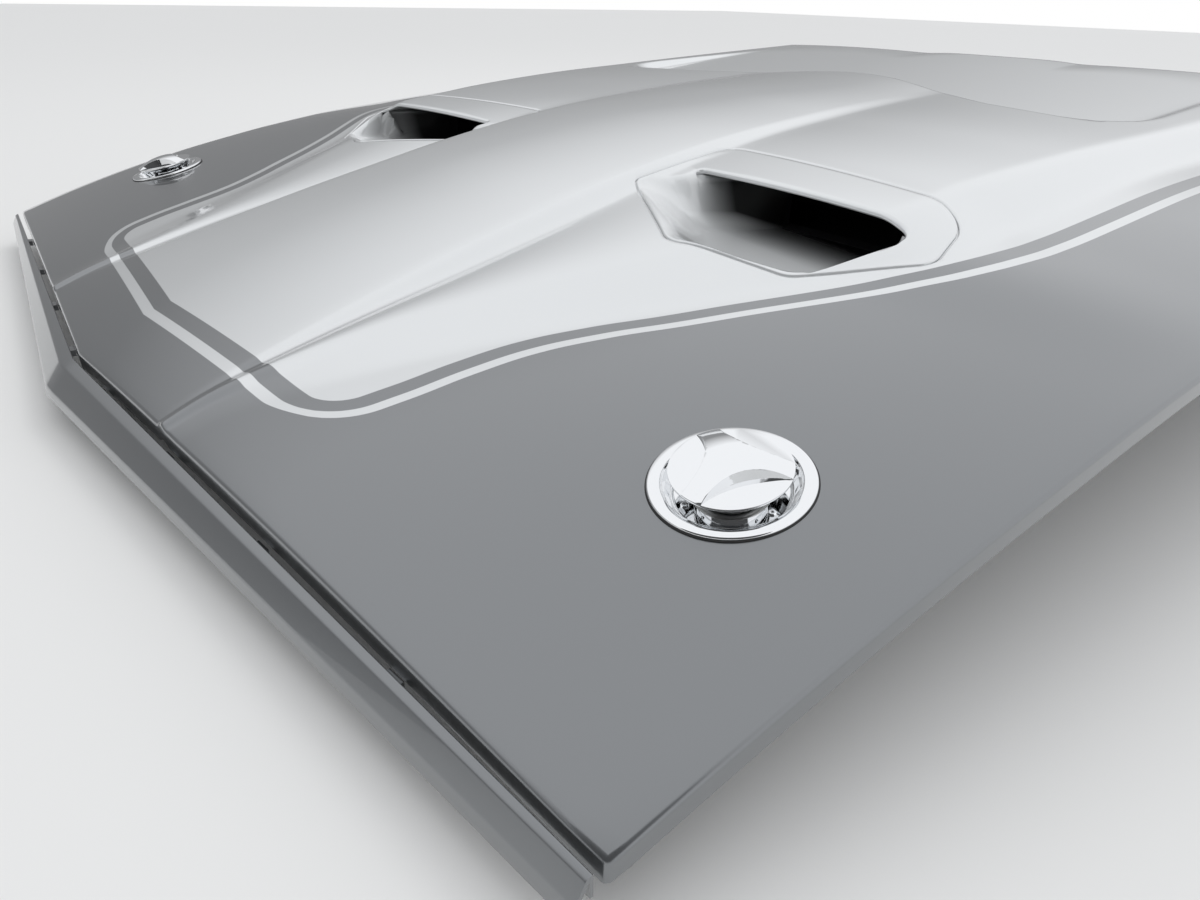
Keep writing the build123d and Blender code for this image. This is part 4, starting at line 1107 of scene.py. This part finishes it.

# hinge springs: coils of bare wire between the stud on the base and the stud on the rear link's ear, hooked
# round both. The real ones stretch as the hinge swings; each here is one fixed mesh, shaped at rest.
SPRING_FRONT = (REAR - 302.0, 20.0)
SPRING_REAR = (REAR - 140.0, 121.0)
SPRING_SIDE = REAR_HALF - 102.0 + 24.0
COIL_TURNS = 30
TURN_STEPS = 16
COIL_RADIUS = 8.4
COIL_GROWS = 40                           # it widens to its radius within one part in so many of its length
WIRE = 1.6
STUD = 4.0
HOOK_PLAY = 0.2
HOOK_STEPS = 20
HOOK_TURN = 0.85                          # how much of the stud each hook goes round
LEAD = 16.0                               # from a stud's middle to the coil
HOOK_RUN = 4.0                            # from a hook's straight end to the coil
spring_steel = Paint("spring_steel", (0.22, 0.22, 0.22), 0.35, metal=1.0)
start = Vector(placed(SPRING_SIDE, *SPRING_FRONT))
end = Vector(placed(SPRING_SIDE, *SPRING_REAR))
line = (end - start).normalized()
sideways = Vector((1, 0, 0))
upward = line.cross(sideways)
reach = (end - start).length
hook_round = (STUD + WIRE + HOOK_PLAY) / 1000
front_hook = []
rear_hook = []
for number in range(HOOK_STEPS):
    turn = 2 * pi * (number / HOOK_STEPS) * HOOK_TURN
    lag = turn + pi * (1 - HOOK_TURN)
    front_hook.append(start + (line * -cos(lag) + upward * sin(lag)) * hook_round)
    rear_hook.append(end + (line * -cos(turn) - upward * sin(turn)) * hook_round)
front_hook.append(start + line * (LEAD - HOOK_RUN) / 1000)
rear_hook.insert(0, end - line * (LEAD - HOOK_RUN) / 1000)
coil_run = []
for number in range(COIL_TURNS * TURN_STEPS + 1):
    share = number / (COIL_TURNS * TURN_STEPS)
    turn = 2 * pi * COIL_TURNS * share
    grow = min(1, share * COIL_GROWS, (1 - share) * COIL_GROWS)
    along = LEAD / 1000 + (reach - 2 * LEAD / 1000) * share
    round_line = sideways * sin(turn) + upward * cos(turn)
    coil_run.append(start + line * along + round_line * COIL_RADIUS / 1000 * grow)
points = front_hook + coil_run + rear_hook
for side, name in ((1, "left"), (-1, "right")):
    curve = bpy.data.curves.new(f"spring_{name}", "CURVE")
    curve.dimensions = "3D"
    curve.bevel_depth = WIRE / 1000
    curve.bevel_resolution = 2
    run = curve.splines.new("POLY")
    run.points.add(len(points) - 1)
    for spot, place in zip(run.points, points):
        spot.co = (side * place.x, place.y, place.z, 1)
    coil = bpy.data.objects.new(f"spring_{name}", curve)
    scene.collection.objects.link(coil)
    selected(coil)
    bpy.ops.object.convert(target="MESH")
    coil = bpy.context.object
    coil.name = f"spring_{name}"
    selected(coil)
    bpy.ops.object.shade_smooth()
    coil.data.materials.clear()
    coil.data.materials.append(spring_steel.material)
    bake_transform(coil)
    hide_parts(f"hinge_spring_{name}")

# studio: a pale floor in a room that is grey at the horizon and white overhead, as the paint and the chrome
# mirror it, with one soft lamp above. The camera sees white behind the bonnet, and only mirrors see the card.
CAMERA_PLACE = (0.87415, -1.42839, 0.33120)
CAMERA_TURN = (61.969, -1.352, 51.177)
CAMERA_LENS = 25.92
HORIZON, OVERHEAD = 0.30, 1.04            # brightness of the room
DARK_BELOW, BRIGHT_ABOVE = 0.02, 0.34     # sines of the elevations between which it brightens
TILT = (0.34, 0.02)                       # how much earlier it brightens towards the near side and the rear
CARD = (0.45, -0.74, 0.50)                # direction of the dark card, behind the camera
CARD_EDGE = 0.70                          # cosine of the angle at its edge
CARD_DARK = 0.93
ROOM_TINT = (0.97, 0.98, 1, 1)
FLOOR_DROP = 0.002                        # the floor's distance below the hinge feet, in metres
bpy.ops.object.camera_add(location=CAMERA_PLACE, rotation=[radians(angle) for angle in CAMERA_TURN])
camera = bpy.context.object
camera.data.lens = CAMERA_LENS
camera.data.sensor_width = 36
camera.data.clip_start = 0.02
scene.camera = camera

world = bpy.data.worlds.new("studio")
scene.world = world
world.use_nodes = True
tree = world.node_tree
tree.nodes.clear()
direction = Value.add(tree, "ShaderNodeTexCoord", output="Generated")
split = Value.add(tree, "ShaderNodeSeparateXYZ", {0: direction})
leftwards, rearwards, climb = (Value(output) for output in split.socket.node.outputs)
tilted = climb + leftwards * TILT[0] + rearwards * TILT[1]
share = ((tilted - DARK_BELOW) / (BRIGHT_ABOVE - DARK_BELOW)).above(0).below(1)
bright = share * (OVERHEAD - HORIZON) + HORIZON
to_camera = Value.add(tree, "ShaderNodeLightPath", output="Is Camera Ray")
in_mirrors = Value(to_camera.socket.node.outputs["Is Glossy Ray"])
card = (leftwards * CARD[0] + rearwards * CARD[1] + climb * CARD[2]).edge(CARD_EDGE, 0.03) * in_mirrors
bright = bright * (1 - card * CARD_DARK)
room = Value.add(tree, "ShaderNodeBackground", {"Color": ROOM_TINT, "Strength": bright})
white = Value.add(tree, "ShaderNodeBackground", {"Color": (1, 1, 1, 1), "Strength": 1.0})
seen = Value.add(tree, "ShaderNodeMixShader", {0: to_camera, 1: room, 2: white})
world_output = tree.nodes.new("ShaderNodeOutputWorld")
tree.links.new(seen.socket, world_output.inputs["Surface"])

bpy.ops.mesh.primitive_plane_add(size=30, location=(0, 0, cad_box[0][2] - FLOOR_DROP))
floor = bpy.context.object
floor.name = "floor"
floor.data.materials.append(Paint("floor_paint", (0.8, 0.8, 0.79), 0.6).material)

bpy.ops.object.light_add(type="AREA", location=(-0.6, 0.8, 3), rotation=(0, 0, 0))
lamp = bpy.context.object
lamp.data.shape = "RECTANGLE"
lamp.data.size = 2.4
lamp.data.size_y = 1.2
lamp.data.energy = 15
lamp.visible_glossy = False
